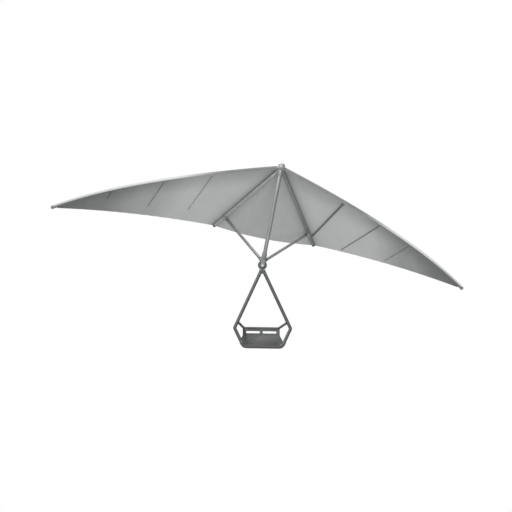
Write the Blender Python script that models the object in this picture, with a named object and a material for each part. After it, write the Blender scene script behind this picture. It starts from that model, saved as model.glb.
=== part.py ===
"""Hang glider with a hanging bucket seat.

A swept fabric wing is spread on two leading edge tubes and two keel tubes that meet in one
nose fitting. A centre tube and two struts run down from the wing to a hub. The seat frame
hangs from the hub on a short link with two crossed pins, so it swings sideways and fore and aft.

Units are metres and +Z is up. The world origin is the middle of the roll pin in the hub.
The nose points to -Y. Left and right are the rider's, who looks to -Y: left is +X.
"""
import math

import bmesh
import bpy
from mathutils import Matrix, Vector

for old in list(bpy.data.objects):
    bpy.data.objects.remove(old, do_unlink=True)

# Fit between touching pieces
GAP = 0.0003
FINE_GAP = 0.001

# Attitude of the wing, as it is stored: nose up, then rolled about the pin in the hub
NOSE_UP_DEG = 25.7
ROLL_DEG = 10.0

# Wing frame, in the level wing's own axes, from the roll pin
NOSE = Vector((0.0, -1.20, 1.31))
TIP = Vector((4.09, 1.235, 1.666))
KEEL_END = Vector((0.950, 0.522, 1.31))
EDGE_BOW_FORWARD = 0.21
EDGE_BOW_UP = -0.04
EDGE_BOW_OUTWARD = 0.39
STRUT_SEAT_FRACTION = 0.846
TUBE_START = 0.135

# The roll pin is square to the centre tube, so its front end points down a little
TUBE_LEAN = math.atan2(-NOSE.y, NOSE.z)
PIN_TILT = TUBE_LEAN - math.radians(NOSE_UP_DEG)

# Tube radii
EDGE_RADIUS = 0.032
KEEL_RADIUS = 0.030
CENTRE_RADIUS = 0.034
STRUT_RADIUS = 0.0255
SPIGOT_RADIUS = 0.021
NOSE_TOP = 0.038
ROUND_SIDES = 24

# Sail
SAIL_THICKNESS = 0.003
SAIL_START = 0.076
SAIL_FIRST = 0.0165
SAIL_LAST = 0.992
SAIL_TIP_CHORD = 0.055
SAIL_OVERHANG = 0.050
SAIL_STATIONS = 14
SAIL_CHORD_STEPS = 6
SAIL_BILLOW = 0.05
TRAILING_SCALLOP = 0.05
TRAILING_ARCH = 0.026
POCKET_GAP = 0.0009
POCKET_STEPS = 10
POCKET_END_DEG = 250.0
POCKET_LEAD = 0.6
POCKET_CLEAR = 0.9
CENTRE_STEPS = 8
CENTRE_BOW = 0.06
CENTRE_SAG = 0.03

# Battens: side, number, share out along the leading edge and along the back edge, reach, radius
BATTENS = (
    ("left", 1, 0.289, 0.018, 0.86, 0.017),
    ("left", 2, 0.483, 0.188, 0.97, 0.010),
    ("left", 3, 0.658, 0.482, 0.95, 0.007),
    ("right", 1, 0.260, 0.216, 0.80, 0.007),
    ("right", 2, 0.467, 0.451, 0.79, 0.008),
    ("right", 3, 0.708, 0.710, 0.56, 0.0055),
)
BATTEN_STEPS = 10
BATTEN_SIDES = 12
BATTEN_FIRST_CHORD = 0.04
BATTEN_TAPER = 0.35
BATTEN_KNOB = 1.55
BATTEN_DROP = 0.006
BATTEN_AIMS = 6
KNOB_GAP = 0.0001
KNOB_SHARES = (-0.98, -0.85, -0.55, 0.0, 0.50, 0.80)

# The ribs look straight to somebody on the ground, who stands here in the world's axes
WATCHER = Vector((-1.30, -18.58, -6.05))

# Hub
ROLL_PIN_RADIUS = 0.014
ROLL_PIN_HEAD_RADIUS = 0.023
ROLL_PIN_HEAD = 0.008
DISC_RADIUS = 0.080
DISC_HALF = 0.018
RUNNING_CLEARANCE = 0.005
PIN_CLEARANCE = 0.0005
TONGUE_THICKNESS = 0.012
TONGUE_RADIUS = 0.038
BRIDGE_BOTTOM = 0.087
BRIDGE_TOP = 0.118
FOOT_RISE = 0.108
COLLAR_LENGTH = 0.120
COLLAR_RADIUS = 0.046
COLLAR_BORE_SHARE = 0.5
SOCKET_RADIUS = 0.032
SOCKET_LENGTH = 0.085
FOOT = FOOT_RISE * NOSE.normalized()
GUIDE_REACH = 0.1

# Both struts point at one place behind the hub's rear cheek, where a lug holds their sockets
ROOT_BACK = 0.052
ROOT_RISE = 0.062
LUG_HALF_WIDTH = 0.031
LUG_FRONT = 0.030
LUG_REAR = 0.078
LUG_BOTTOM = 0.031
LUG_TOP = 0.112
STRUT_ROOT = Matrix.Rotation(TUBE_LEAN, 3, "X") @ Vector((0, ROOT_BACK, ROOT_RISE))

# Strut clamps under the keel tubes
CLAMP_HALF_WIDTH = 0.036
CLAMP_HALF_LENGTH = 0.040
CLAMP_BOTTOM = -0.056
CLAMP_TOP = -0.004
CLAMP_SPIGOT = 0.095

# Link and cross pin
CROSS_PIN_DROP = 0.105
CROSS_PIN_RADIUS = 0.010
NECK_HALF_WIDTH = 0.022
NECK_END_RADIUS = 0.022
NECK_TOP = -0.04
EAR_INNER = 0.027
EAR_OUTER = 0.045
EAR_RADIUS = 0.024
EAR_HALF_DEPTH = 0.018
CROWN_TOP = -0.029
CROWN_BOTTOM = -0.044

# Seat frame, from the cross pin down, before the tilt that brings its weight under the pin
SEAT_TILT_DEG = 2.83
LEG_TOP = Vector((0.064, 0.0, -0.090))
ELBOW = Vector((0.490, 0.0, -1.065))
BASE_CORNER = Vector((0.335, 0.0, -1.402))
LEG_SOCKET_LENGTH = 0.068
LEG_RADIUS = 0.029
LEG_SOCKET_RADIUS = 0.031
ELBOW_BEND = 0.045
BASE_BEND = 0.080
BEND_STEPS = 6
LEAD_IN = 0.012
ARM_HEIGHT = -0.951
ARM_RADIUS = 0.016
ARM_START_ROOM = 0.0025
ARM_END_ROOM = 0.006
RAIL_RADIUS = 0.020
SEAT_DEPTH = 0.355
SEAT_HALF_WIDTH = 0.322
RAIL_HALF_WIDTH = 0.325
PAN_FRONT_RISE = 0.010
PAN_REAR_RISE = 0.100
PAN_THICKNESS = 0.008
BACK_BEND = 0.070
SLOT_TOP = 0.030
SLOT_HEIGHT = 0.052
SLOT_INNER = 0.018
SLOT_OUTER = 0.275
SLOT_ROUND = 0.024

COLORS = {
    "tube": ((0.52, 0.53, 0.54), 0.35, 0.9),
    "bright": ((0.72, 0.73, 0.74), 0.28, 0.9),
    "sail": ((0.62, 0.63, 0.63), 0.75, 0.0),
    "edge": ((0.80, 0.81, 0.81), 0.60, 0.0),
    "dark": ((0.09, 0.10, 0.10), 0.50, 0.3),
    "seat": ((0.13, 0.135, 0.135), 0.60, 0.0),
    "link": ((0.16, 0.165, 0.17), 0.45, 0.6),
}


def make_material(name):
    color, roughness, metallic = COLORS[name]
    material = bpy.data.materials.new(name)
    material.use_nodes = True
    shader = material.node_tree.nodes["Principled BSDF"]
    shader.inputs["Base Color"].default_value = (*color, 1.0)
    shader.inputs["Roughness"].default_value = roughness
    shader.inputs["Metallic"].default_value = metallic
    return material


MATERIALS = {name: make_material(name) for name in COLORS}


def make_empty(name, location, rotation, parent=None):
    empty = bpy.data.objects.new(name, None)
    empty.location = location
    empty.rotation_euler = rotation
    empty.parent = parent
    bpy.context.scene.collection.objects.link(empty)
    return empty


# Y of the pin axes lies along the roll pin. The hub rolls about it, and the link sways about it.
CENTRE = (0, 0, 0)
PIN = make_empty("pin_axes", CENTRE, (PIN_TILT, 0, 0))
HUB = make_empty("hub_axes", CENTRE, (0, math.radians(ROLL_DEG), 0), PIN)
WING = make_empty("wing_attitude", CENTRE, (-TUBE_LEAN, 0, 0), HUB)
SWAY = make_empty("sway_pivot", CENTRE, (0, 0, 0), PIN)
SEAT_TURN = -PIN_TILT - math.radians(SEAT_TILT_DEG)
SEAT = make_empty("seat_pivot", (0, 0, -CROSS_PIN_DROP), (SEAT_TURN, 0, 0), SWAY)


def mesh_object(name, bm, material, parent, smooth_deg=35.0):
    """One closed object from a bmesh, with its faces pointing out and round sides smooth."""
    bmesh.ops.remove_doubles(bm, verts=bm.verts, dist=0.00001)
    bmesh.ops.recalc_face_normals(bm, faces=bm.faces)
    mesh = bpy.data.meshes.new(name)
    bm.to_mesh(mesh)
    bm.free()
    mesh.shade_smooth()
    mesh.set_sharp_from_angle(angle=math.radians(smooth_deg))
    mesh.materials.append(MATERIALS[material])
    obj = bpy.data.objects.new(name, mesh)
    obj.parent = parent
    bpy.context.scene.collection.objects.link(obj)
    return obj


def loft(bm, rings, close_ends=True):
    """Skin a list of point rings, each ring closed on itself, and cap both ends."""
    loops = [[bm.verts.new(point) for point in ring] for ring in rings]
    count = len(rings[0])
    for first, second in zip(loops, loops[1:]):
        for index in range(count):
            after = (index + 1) % count
            bm.faces.new((first[index], first[after], second[after], second[index]))
    if close_ends:
        bm.faces.new(loops[0][::-1])
        bm.faces.new(loops[-1])


def circle(center, side, up, radius, sides):
    """Points of a circle in the plane of two unit vectors."""
    points = []
    for index in range(sides):
        angle = 2 * math.pi * index / sides
        points.append(center + radius * (math.cos(angle) * side + math.sin(angle) * up))
    return points


def sweep_rings(path, radii, sides):
    """Rings square to a path, turned as little as possible from one to the next."""
    rings = []
    side = None
    for index, point in enumerate(path):
        before = path[max(index - 1, 0)]
        after = path[min(index + 1, len(path) - 1)]
        along = (after - before).normalized()
        if side is None:
            side = along.orthogonal().normalized()
        side = (side - along * side.dot(along)).normalized()
        rings.append(circle(point, side, along.cross(side), radii[index], sides))
    return rings


def swept_tube(name, path, radii, material, parent, sides=ROUND_SIDES):
    bm = bmesh.new()
    loft(bm, sweep_rings(path, radii, sides))
    return mesh_object(name, bm, material, parent)


def turned(name, profile, start, direction, material, parent, sides=ROUND_SIDES):
    """A solid of revolution: profile is (distance along, radius), placed by location and turn."""
    bm = bmesh.new()
    rings = []
    for along, radius in profile:
        rings.append(circle(Vector((0, 0, along)), Vector((1, 0, 0)), Vector((0, 1, 0)), radius, sides))
    loft(bm, rings)
    obj = mesh_object(name, bm, material, parent)
    obj.location = start
    obj.rotation_mode = "QUATERNION"
    obj.rotation_quaternion = direction.to_track_quat("Z", "Y")
    return obj


def straight_tube(name, start, end, radius, material, parent, chamfer=0.002):
    length = (end - start).length
    profile = (
        (0.0, radius - chamfer),
        (chamfer, radius),
        (length - chamfer, radius),
        (length, radius - chamfer),
    )
    return turned(name, profile, start, end - start, material, parent)


def as_guide(obj):
    obj.hide_render = True
    obj.display_type = "WIRE"
    return obj


def combine(target, operation, *others):
    """Join or cut a piece with guide solids that are not part of the glider themselves."""
    for other in others:
        modifier = target.modifiers.new(operation.lower() + "_" + other.name, "BOOLEAN")
        modifier.operation = operation
        modifier.object = as_guide(other)
        modifier.solver = "EXACT"


def block(name, low, high, material, parent, bevel=0.0):
    bm = bmesh.new()
    bmesh.ops.create_cube(bm, size=1.0)
    size = Vector(high) - Vector(low)
    middle = (Vector(high) + Vector(low)) / 2
    bmesh.ops.scale(bm, vec=size, verts=bm.verts)
    bmesh.ops.translate(bm, vec=middle, verts=bm.verts)
    if bevel:
        bmesh.ops.bevel(bm, geom=bm.edges[:], offset=bevel, segments=2, profile=0.5, affect="EDGES")
    return mesh_object(name, bm, material, parent)


ATTITUDE = (
    Matrix.Rotation(PIN_TILT, 3, "X")
    @ Matrix.Rotation(math.radians(ROLL_DEG), 3, "Y")
    @ Matrix.Rotation(-TUBE_LEAN, 3, "X")
)
WATCHER_AT_WING = ATTITUDE.transposed() @ WATCHER
SIDES = (("left", 1.0), ("right", -1.0))
STATIONS = [step / (SAIL_STATIONS - 1) for step in range(SAIL_STATIONS)]


def mirrored(point, sign):
    return Vector((point.x * sign, point.y, point.z))


def sail_fraction(station):
    """Where a sail station lies on the leading edge tube, as a fraction of its length."""
    return SAIL_FIRST + (SAIL_LAST - SAIL_FIRST) * station


def leading_edge(sign, fraction):
    """Centre of the leading edge tube at a fraction of its length from the nose."""
    tip = mirrored(TIP, sign)
    span = (tip - NOSE).normalized()
    forward = span.cross(Vector((0, 0, 1))).normalized() * sign
    arch = 4 * fraction * (1 - fraction) * (1 + EDGE_BOW_OUTWARD * (fraction - 0.5))
    straight = NOSE.lerp(tip, fraction)
    return straight + arch * (EDGE_BOW_FORWARD * forward + EDGE_BOW_UP * Vector((0, 0, 1)))


def straight_run(sign, station):
    """Centre of the bent tube at any station: it runs straight between two of the sail's."""
    place = station * (SAIL_STATIONS - 1)
    first = min(int(place), SAIL_STATIONS - 2)
    before = leading_edge(sign, sail_fraction(STATIONS[first]))
    after = leading_edge(sign, sail_fraction(STATIONS[first + 1]))
    return before.lerp(after, place - first)


def edge_axes(sign, fraction):
    """At one place on the leading edge: along it, square to it aft in the sail, and up."""
    step = 0.01
    ahead = leading_edge(sign, min(fraction + step, 1.0))
    behind = leading_edge(sign, max(fraction - step, 0.0))
    along = (ahead - behind).normalized()
    chord = (mirrored(KEEL_END, sign) - NOSE).normalized()
    up = along.cross(chord).normalized() * sign
    aft = up.cross(along).normalized() * sign
    return along, aft, up


def trailing_edge(sign, fraction):
    """Middle of the sail's thickness on its back edge, from the keel end out to the tip."""
    lift = KEEL_RADIUS + GAP + FINE_GAP + SAIL_THICKNESS / 2
    keel = (mirrored(KEEL_END, sign) - NOSE).normalized()
    inner = mirrored(KEEL_END, sign) + SAIL_OVERHANG * keel + Vector((0, 0, lift))
    along, aft, up = edge_axes(sign, SAIL_LAST)
    height = EDGE_RADIUS + GAP + SAIL_THICKNESS / 2
    outer = leading_edge(sign, SAIL_LAST) + SAIL_TIP_CHORD * aft + height * up
    arch = 4 * fraction * (1 - fraction)
    return inner.lerp(outer, fraction) + arch * Vector((0, -TRAILING_SCALLOP, TRAILING_ARCH))


def sail_point(sign, station, chord):
    """Middle of the sail's thickness: station 0 is over the keel tube, chord 0 is the front."""
    lift = KEEL_RADIUS + GAP + FINE_GAP + SAIL_THICKNESS / 2
    fraction = sail_fraction(station)
    along, aft, up = edge_axes(sign, fraction)
    front = leading_edge(sign, fraction) + (EDGE_RADIUS + POCKET_GAP + SAIL_THICKNESS / 2) * up
    if station == 0:
        toward_keel = (mirrored(KEEL_END, sign) - NOSE).normalized()
        front = NOSE + SAIL_START * toward_keel + Vector((0, 0, lift))
    back = trailing_edge(sign, station)
    billow = SAIL_BILLOW * 4 * chord * (1 - chord) * math.sin(math.pi * station)
    return front.lerp(back, chord) + billow * Vector((0, 0, 1))


def sail_section(sign, station):
    """Closed outline: over the sail from back to front, round the pocket, and back inside it."""
    fraction = sail_fraction(station)
    along, aft, up = edge_axes(sign, fraction)
    center = leading_edge(sign, fraction)
    half = SAIL_THICKNESS / 2
    length = (sail_point(sign, station, 0.0) - trailing_edge(sign, station)).length
    nearest = max(0.4 / SAIL_CHORD_STEPS, POCKET_CLEAR * EDGE_RADIUS / length) if station > 0 else 0.0
    chords = [1 - (1 - nearest) * step / SAIL_CHORD_STEPS for step in range(SAIL_CHORD_STEPS + 1)]
    middle = [sail_point(sign, station, chord) for chord in chords]
    middle.append(center + POCKET_LEAD * EDGE_RADIUS * aft + (EDGE_RADIUS + POCKET_GAP + half) * up)
    upper = [point + half * Vector((0, 0, 1)) for point in middle]
    lower = [point - half * Vector((0, 0, 1)) for point in middle]
    outer = []
    inner = []
    turn = math.radians(POCKET_END_DEG - 90) / POCKET_STEPS
    inside = (EDGE_RADIUS + POCKET_GAP) / math.cos(turn / 2)
    for step in range(POCKET_STEPS + 1):
        angle = math.radians(90) + turn * step
        ray = math.cos(angle) * aft + math.sin(angle) * up
        outer.append(center + (inside + SAIL_THICKNESS) * ray)
        inner.append(center + inside * ray)
    return upper + outer + inner[::-1] + lower[::-1]


def make_side_sail(side, sign):
    bm = bmesh.new()
    loft(bm, [sail_section(sign, station) for station in STATIONS])
    return mesh_object("sail_" + side, bm, "sail", WING)


def make_centre_sail():
    """The middle panel lies on both keel tubes, edge to edge with the side panels."""
    bm = bmesh.new()
    half = SAIL_THICKNESS / 2
    lift = KEEL_RADIUS + GAP + FINE_GAP + half
    rings = []
    tube = KEEL_END - NOSE
    first = SAIL_START / tube.length
    last = 1 + SAIL_OVERHANG / tube.length
    inset = FINE_GAP / 2 / math.cos(math.atan2(tube.x, tube.y))
    for step in range(CENTRE_STEPS + 1):
        along = step / CENTRE_STEPS
        edge = NOSE + tube * (first + (last - first) * along)
        ring = []
        for across in (-1.0, -0.5, 0.0, 0.5, 1.0):
            bow = (1 - across * across) * along
            height = NOSE.z + lift - CENTRE_SAG * bow
            ring.append(Vector((across * (edge.x - inset), edge.y + CENTRE_BOW * bow, height)))
        rings.append([p + Vector((0, 0, half)) for p in ring] + [p - Vector((0, 0, half)) for p in ring[::-1]])
    loft(bm, rings)
    return mesh_object("sail_centre", bm, "sail", WING)


def make_leading_edge(side, sign):
    """The tube bends at the sail's own stations, so the pocket follows it all the way."""
    first = TUBE_START / (TIP - NOSE).length
    fractions = [sail_fraction(station) for station in STATIONS[1:]] + [1.0]
    path = [straight_run(sign, (first - SAIL_FIRST) / (SAIL_LAST - SAIL_FIRST))]
    path += [leading_edge(sign, fraction) for fraction in fractions]
    tube = swept_tube("leading_edge_" + side, path, [EDGE_RADIUS] * len(path), "tube", WING)
    along = edge_axes(sign, 1.0)[0]
    cap = (
        (0.0, EDGE_RADIUS * 0.95),
        (0.004, EDGE_RADIUS * 1.10),
        (0.030, EDGE_RADIUS * 1.10),
        (0.046, EDGE_RADIUS * 0.80),
        (0.054, EDGE_RADIUS * 0.35),
    )
    turned("tip_cap_" + side, cap, path[-1] + GAP * along, along, "edge", WING)
    return tube


def make_keel(side, sign):
    end = mirrored(KEEL_END, sign)
    along = (end - NOSE).normalized()
    straight_tube("keel_" + side, NOSE + TUBE_START * along, end, KEEL_RADIUS, "tube", WING)
    plug = (
        (0.0, KEEL_RADIUS * 0.95),
        (0.003, KEEL_RADIUS * 1.03),
        (0.026, KEEL_RADIUS * 1.03),
        (0.036, KEEL_RADIUS * 0.75),
    )
    turned("keel_plug_" + side, plug, end + GAP * along, along, "dark", WING)


def make_nose():
    """A turned hub with a spigot for each of the five tubes that meet in it."""
    profile = ((-0.050, 0.042), (-0.040, 0.055), (0.020, 0.059), (NOSE_TOP, 0.056))
    hub = turned("nose_fitting", profile, NOSE, Vector((0, 0, 1)), "tube", WING, sides=32)
    ends = [mirrored(KEEL_END, sign) for name, sign in SIDES]
    ends += [leading_edge(sign, TUBE_START / (TIP - NOSE).length) for name, sign in SIDES]
    ends.append(FOOT)
    for number, end in enumerate(ends):
        along = (end - NOSE).normalized()
        guide = straight_tube(
            "spigot_guide_" + str(number), NOSE, NOSE + (TUBE_START - GAP) * along, SPIGOT_RADIUS, "tube", WING
        )
        combine(hub, "UNION", guide)
    dome = (
        (0.0, 0.057),
        (0.006, 0.062),
        (0.014, 0.062),
        (0.030, 0.053),
        (0.042, 0.036),
        (0.048, 0.015),
    )
    turned("nose_cap", dome, NOSE + Vector((0, 0, NOSE_TOP + GAP)), Vector((0, 0, 1)), "bright", WING, sides=32)


def make_centre_tube():
    down = (FOOT - NOSE).normalized()
    end = FOOT - COLLAR_LENGTH * COLLAR_BORE_SHARE * down
    straight_tube("centre_tube", NOSE + TUBE_START * down, end, CENTRE_RADIUS, "tube", WING)


def strut_seat(sign):
    return NOSE.lerp(mirrored(KEEL_END, sign), STRUT_SEAT_FRACTION)


def make_strut(side, sign):
    seat = strut_seat(sign)
    along = (seat - STRUT_ROOT).normalized()
    start = STRUT_ROOT + (SOCKET_LENGTH + GAP) * along
    end = seat - (CLAMP_SPIGOT + GAP) * along
    straight_tube("strut_" + side, start, end, STRUT_RADIUS, "tube", WING)


def make_strut_clamp(side, sign):
    """A saddle under the keel tube, with a spigot on which the strut's upper end sits."""
    seat = strut_seat(sign)
    keel = (mirrored(KEEL_END, sign) - NOSE).normalized()
    low = (-CLAMP_HALF_WIDTH, -CLAMP_HALF_LENGTH, CLAMP_BOTTOM)
    high = (CLAMP_HALF_WIDTH, CLAMP_HALF_LENGTH, CLAMP_TOP)
    clamp = block("strut_clamp_" + side, low, high, "bright", WING, bevel=0.008)
    clamp.location = seat
    clamp.rotation_euler = (0, 0, math.atan2(-keel.x, keel.y))
    along = (seat - STRUT_ROOT).normalized()
    spigot = straight_tube("clamp_guide_" + side, seat - CLAMP_SPIGOT * along, seat, STRUT_RADIUS * 0.8, "tube", WING)
    reach = GUIDE_REACH * keel
    bore = straight_tube("keel_guide_" + side, seat - reach, seat + reach, KEEL_RADIUS + GAP, "tube", WING)
    combine(clamp, "UNION", spigot)
    combine(clamp, "DIFFERENCE", bore)


def tongue(name, near, far):
    """One cheek of the hub's fork: round below, straight above, from near to far along the pin."""
    bm = bmesh.new()
    outline = []
    steps = 16
    for step in range(steps + 1):
        angle = math.pi + math.pi * step / steps
        outline.append((TONGUE_RADIUS * math.cos(angle), TONGUE_RADIUS * math.sin(angle)))
    outline.append((TONGUE_RADIUS, BRIDGE_TOP - 0.01))
    outline.append((-TONGUE_RADIUS, BRIDGE_TOP - 0.01))
    rings = [[Vector((x, depth, z)) for x, z in outline] for depth in (near, far)]
    loft(bm, rings)
    return mesh_object(name, bm, "bright", HUB)


def make_collar():
    """Collar on the centre tube's foot, a fork for the link, and behind it the struts' sockets."""
    up = (NOSE - FOOT).normalized()
    profile = (
        (0.0, 0.038),
        (0.012, COLLAR_RADIUS),
        (COLLAR_LENGTH * 0.45, COLLAR_RADIUS),
        (COLLAR_LENGTH, CENTRE_RADIUS + 0.005),
    )
    collar = turned("hub_collar", profile, FOOT, up, "bright", WING, sides=32)
    near = DISC_HALF + RUNNING_CLEARANCE
    far = near + TONGUE_THICKNESS
    low = (-TONGUE_RADIUS, -far, BRIDGE_BOTTOM)
    high = (TONGUE_RADIUS, far, BRIDGE_TOP)
    combine(collar, "UNION", block("bridge_guide", low, high, "bright", HUB, bevel=0.004))
    combine(collar, "UNION", tongue("front_tongue_guide", -far + FINE_GAP, -near))
    combine(collar, "UNION", tongue("rear_tongue_guide", near, far - FINE_GAP))
    low = (-LUG_HALF_WIDTH, LUG_FRONT, LUG_BOTTOM)
    high = (LUG_HALF_WIDTH, LUG_REAR, LUG_TOP)
    combine(collar, "UNION", block("lug_guide", low, high, "bright", HUB, bevel=0.008))
    for side, sign in SIDES:
        along = (strut_seat(sign) - STRUT_ROOT).normalized()
        end = STRUT_ROOT + SOCKET_LENGTH * along
        socket = straight_tube("socket_guide_" + side, STRUT_ROOT, end, SOCKET_RADIUS, "bright", WING)
        combine(collar, "UNION", socket)
    bore_start = FOOT + (COLLAR_LENGTH * COLLAR_BORE_SHARE - GAP) * up
    bore_end = FOOT + (COLLAR_LENGTH + GUIDE_REACH) * up
    bore = straight_tube("collar_guide", bore_start, bore_end, CENTRE_RADIUS + GAP, "tube", WING)
    reach = Vector((0, GUIDE_REACH, 0))
    pin_hole = straight_tube("pin_guide", -reach, reach, ROLL_PIN_RADIUS + GAP, "tube", HUB)
    combine(collar, "DIFFERENCE", bore, pin_hole)


def make_roll_pin():
    inner = DISC_HALF + RUNNING_CLEARANCE + TONGUE_THICKNESS + GAP
    outer = inner + ROLL_PIN_HEAD
    profile = (
        (-outer, ROLL_PIN_HEAD_RADIUS * 0.8),
        (-outer + 0.003, ROLL_PIN_HEAD_RADIUS),
        (-inner, ROLL_PIN_HEAD_RADIUS),
        (-inner, ROLL_PIN_RADIUS),
        (inner, ROLL_PIN_RADIUS),
        (inner, ROLL_PIN_HEAD_RADIUS),
        (outer - 0.003, ROLL_PIN_HEAD_RADIUS),
        (outer, ROLL_PIN_HEAD_RADIUS * 0.8),
    )
    turned("roll_pin", profile, Vector((0, 0, 0)), Vector((0, 1, 0)), "tube", HUB, sides=32)


def make_link():
    """A round disc on the roll pin, with a neck below that carries the cross pin."""
    profile = (
        (-DISC_HALF, DISC_RADIUS - 0.004),
        (-DISC_HALF + 0.004, DISC_RADIUS),
        (DISC_HALF - 0.004, DISC_RADIUS),
        (DISC_HALF, DISC_RADIUS - 0.004),
    )
    link = turned("hang_link", profile, Vector((0, 0, 0)), Vector((0, 1, 0)), "link", SWAY, sides=40)
    bm = bmesh.new()
    outline = []
    steps = 12
    for step in range(steps + 1):
        angle = math.pi + math.pi * step / steps
        outline.append(
            (NECK_END_RADIUS * math.cos(angle), -CROSS_PIN_DROP + NECK_END_RADIUS * math.sin(angle))
        )
    outline.append((NECK_END_RADIUS, NECK_TOP))
    outline.append((-NECK_END_RADIUS, NECK_TOP))
    half = NECK_HALF_WIDTH
    rings = [[Vector((across, y, z)) for y, z in outline] for across in (-half, half)]
    loft(bm, rings)
    neck = mesh_object("neck_guide", bm, "link", SWAY)
    combine(link, "UNION", neck)
    middle = Vector((0, 0, -CROSS_PIN_DROP))
    along = Vector((0, GUIDE_REACH, 0))
    across = Vector((GUIDE_REACH, 0, 0))
    roll = straight_tube("link_roll_guide", -along, along, ROLL_PIN_RADIUS + PIN_CLEARANCE, "tube", SWAY)
    cross_radius = CROSS_PIN_RADIUS + PIN_CLEARANCE
    cross = straight_tube("link_cross_guide", middle - across, middle + across, cross_radius, "tube", SWAY)
    combine(link, "DIFFERENCE", roll, cross)


def make_fork_head():
    """Two ears on the cross pin, a crown below them, and a socket for each leg."""
    low = (-EAR_OUTER, -EAR_HALF_DEPTH, CROWN_BOTTOM)
    high = (EAR_OUTER, EAR_HALF_DEPTH, CROWN_TOP)
    head = block("fork_head", low, high, "dark", SEAT, bevel=0.004)
    for side, sign in SIDES:
        bm = bmesh.new()
        outline = []
        steps = 12
        for step in range(steps + 1):
            angle = math.pi * step / steps
            outline.append((EAR_RADIUS * math.cos(angle), EAR_RADIUS * math.sin(angle)))
        outline.append((-EAR_HALF_DEPTH + 0.001, CROWN_BOTTOM + 0.008))
        outline.append((EAR_HALF_DEPTH - 0.001, CROWN_BOTTOM + 0.008))
        rings = []
        for across in (EAR_INNER, EAR_OUTER - 0.001):
            rings.append([Vector((sign * across, y, z)) for y, z in outline])
        loft(bm, rings)
        combine(head, "UNION", mesh_object("ear_guide_" + side, bm, "dark", SEAT))
        top = mirrored(LEG_TOP, sign)
        root = top - LEG_SOCKET_LENGTH * (mirrored(ELBOW, sign) - top).normalized()
        socket = straight_tube("leg_socket_guide_" + side, root, top, LEG_SOCKET_RADIUS, "dark", SEAT)
        combine(head, "UNION", socket)
    reach = Vector((GUIDE_REACH, 0, 0))
    hole = straight_tube("ear_hole_guide", -reach, reach, CROSS_PIN_RADIUS + GAP, "tube", SEAT)
    inner = Vector((EAR_INNER, 0, 0))
    room = NECK_END_RADIUS + RUNNING_CLEARANCE
    neck_room = straight_tube("neck_room_guide", -inner, inner, room, "tube", SEAT, chamfer=0.0001)
    combine(head, "DIFFERENCE", hole, neck_room)


def make_cross_pin():
    inner = EAR_OUTER + GAP
    outer = inner + 0.007
    profile = (
        (-outer, CROSS_PIN_RADIUS * 1.3),
        (-outer + 0.002, CROSS_PIN_RADIUS * 1.5),
        (-inner, CROSS_PIN_RADIUS * 1.5),
        (-inner, CROSS_PIN_RADIUS),
        (inner, CROSS_PIN_RADIUS),
        (inner, CROSS_PIN_RADIUS * 1.5),
        (outer - 0.002, CROSS_PIN_RADIUS * 1.5),
        (outer, CROSS_PIN_RADIUS * 1.3),
    )
    turned("cross_pin", profile, Vector((0, 0, 0)), Vector((1, 0, 0)), "tube", SEAT)


def rounded_corner(before, corner, after, radius):
    """Points of an arc that rounds the corner between two straight runs."""
    first = (before - corner).normalized()
    second = (after - corner).normalized()
    half_turn = math.acos(max(-1.0, min(1.0, first.dot(second)))) / 2
    reach = radius / math.tan(half_turn)
    center = corner + (first + second).normalized() * (radius / math.sin(half_turn))
    start = (corner + first * reach - center).normalized()
    end = (corner + second * reach - center).normalized()
    return [center + radius * start.slerp(end, step / BEND_STEPS) for step in range(BEND_STEPS + 1)]


def make_leg(side, sign):
    """From the fork head out to the elbow and in again to the start of the base bar's bend."""
    top = mirrored(LEG_TOP, sign)
    elbow = mirrored(ELBOW, sign)
    corner = mirrored(BASE_CORNER, sign)
    middle = Vector((0, 0, BASE_CORNER.z))
    first = (elbow - top).normalized()
    bend = rounded_corner(elbow, corner, middle, BASE_BEND)
    last = (corner - elbow).normalized()
    end = bend[0] - (LEAD_IN + GAP) * last
    path = [top + GAP * first] + rounded_corner(top, elbow, corner, ELBOW_BEND) + [end]
    swept_tube("leg_" + side, path, [LEG_RADIUS] * len(path), "dark", SEAT)


def base_path():
    left_bend = rounded_corner(ELBOW, BASE_CORNER, Vector((0, 0, BASE_CORNER.z)), BASE_BEND)
    left_bend.insert(0, left_bend[0] - LEAD_IN * (BASE_CORNER - ELBOW).normalized())
    return left_bend + [mirrored(point, -1.0) for point in left_bend[::-1]]


def make_base_bar():
    path = base_path()
    swept_tube("base_bar", path, [LEG_RADIUS] * len(path), "dark", SEAT)


def make_arm(side, sign):
    top = mirrored(LEG_TOP, sign)
    elbow = mirrored(ELBOW, sign)
    share = (ARM_HEIGHT - top.z) / (elbow.z - top.z)
    on_leg = top.lerp(elbow, share)
    on_rail = Vector((sign * (RAIL_HALF_WIDTH - ARM_RADIUS), SEAT_DEPTH, ARM_HEIGHT))
    along = (on_rail - on_leg).normalized()
    start = on_leg + (LEG_RADIUS + ARM_START_ROOM) * along
    end = on_rail - (RAIL_RADIUS + ARM_END_ROOM) * along
    straight_tube("arm_" + side, start, end, ARM_RADIUS, "dark", SEAT)


def make_back_rail():
    ends = [Vector((sign * RAIL_HALF_WIDTH, SEAT_DEPTH, ARM_HEIGHT)) for name, sign in SIDES]
    straight_tube("back_rail", ends[1], ends[0], RAIL_RADIUS, "dark", SEAT, chamfer=0.005)


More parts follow.
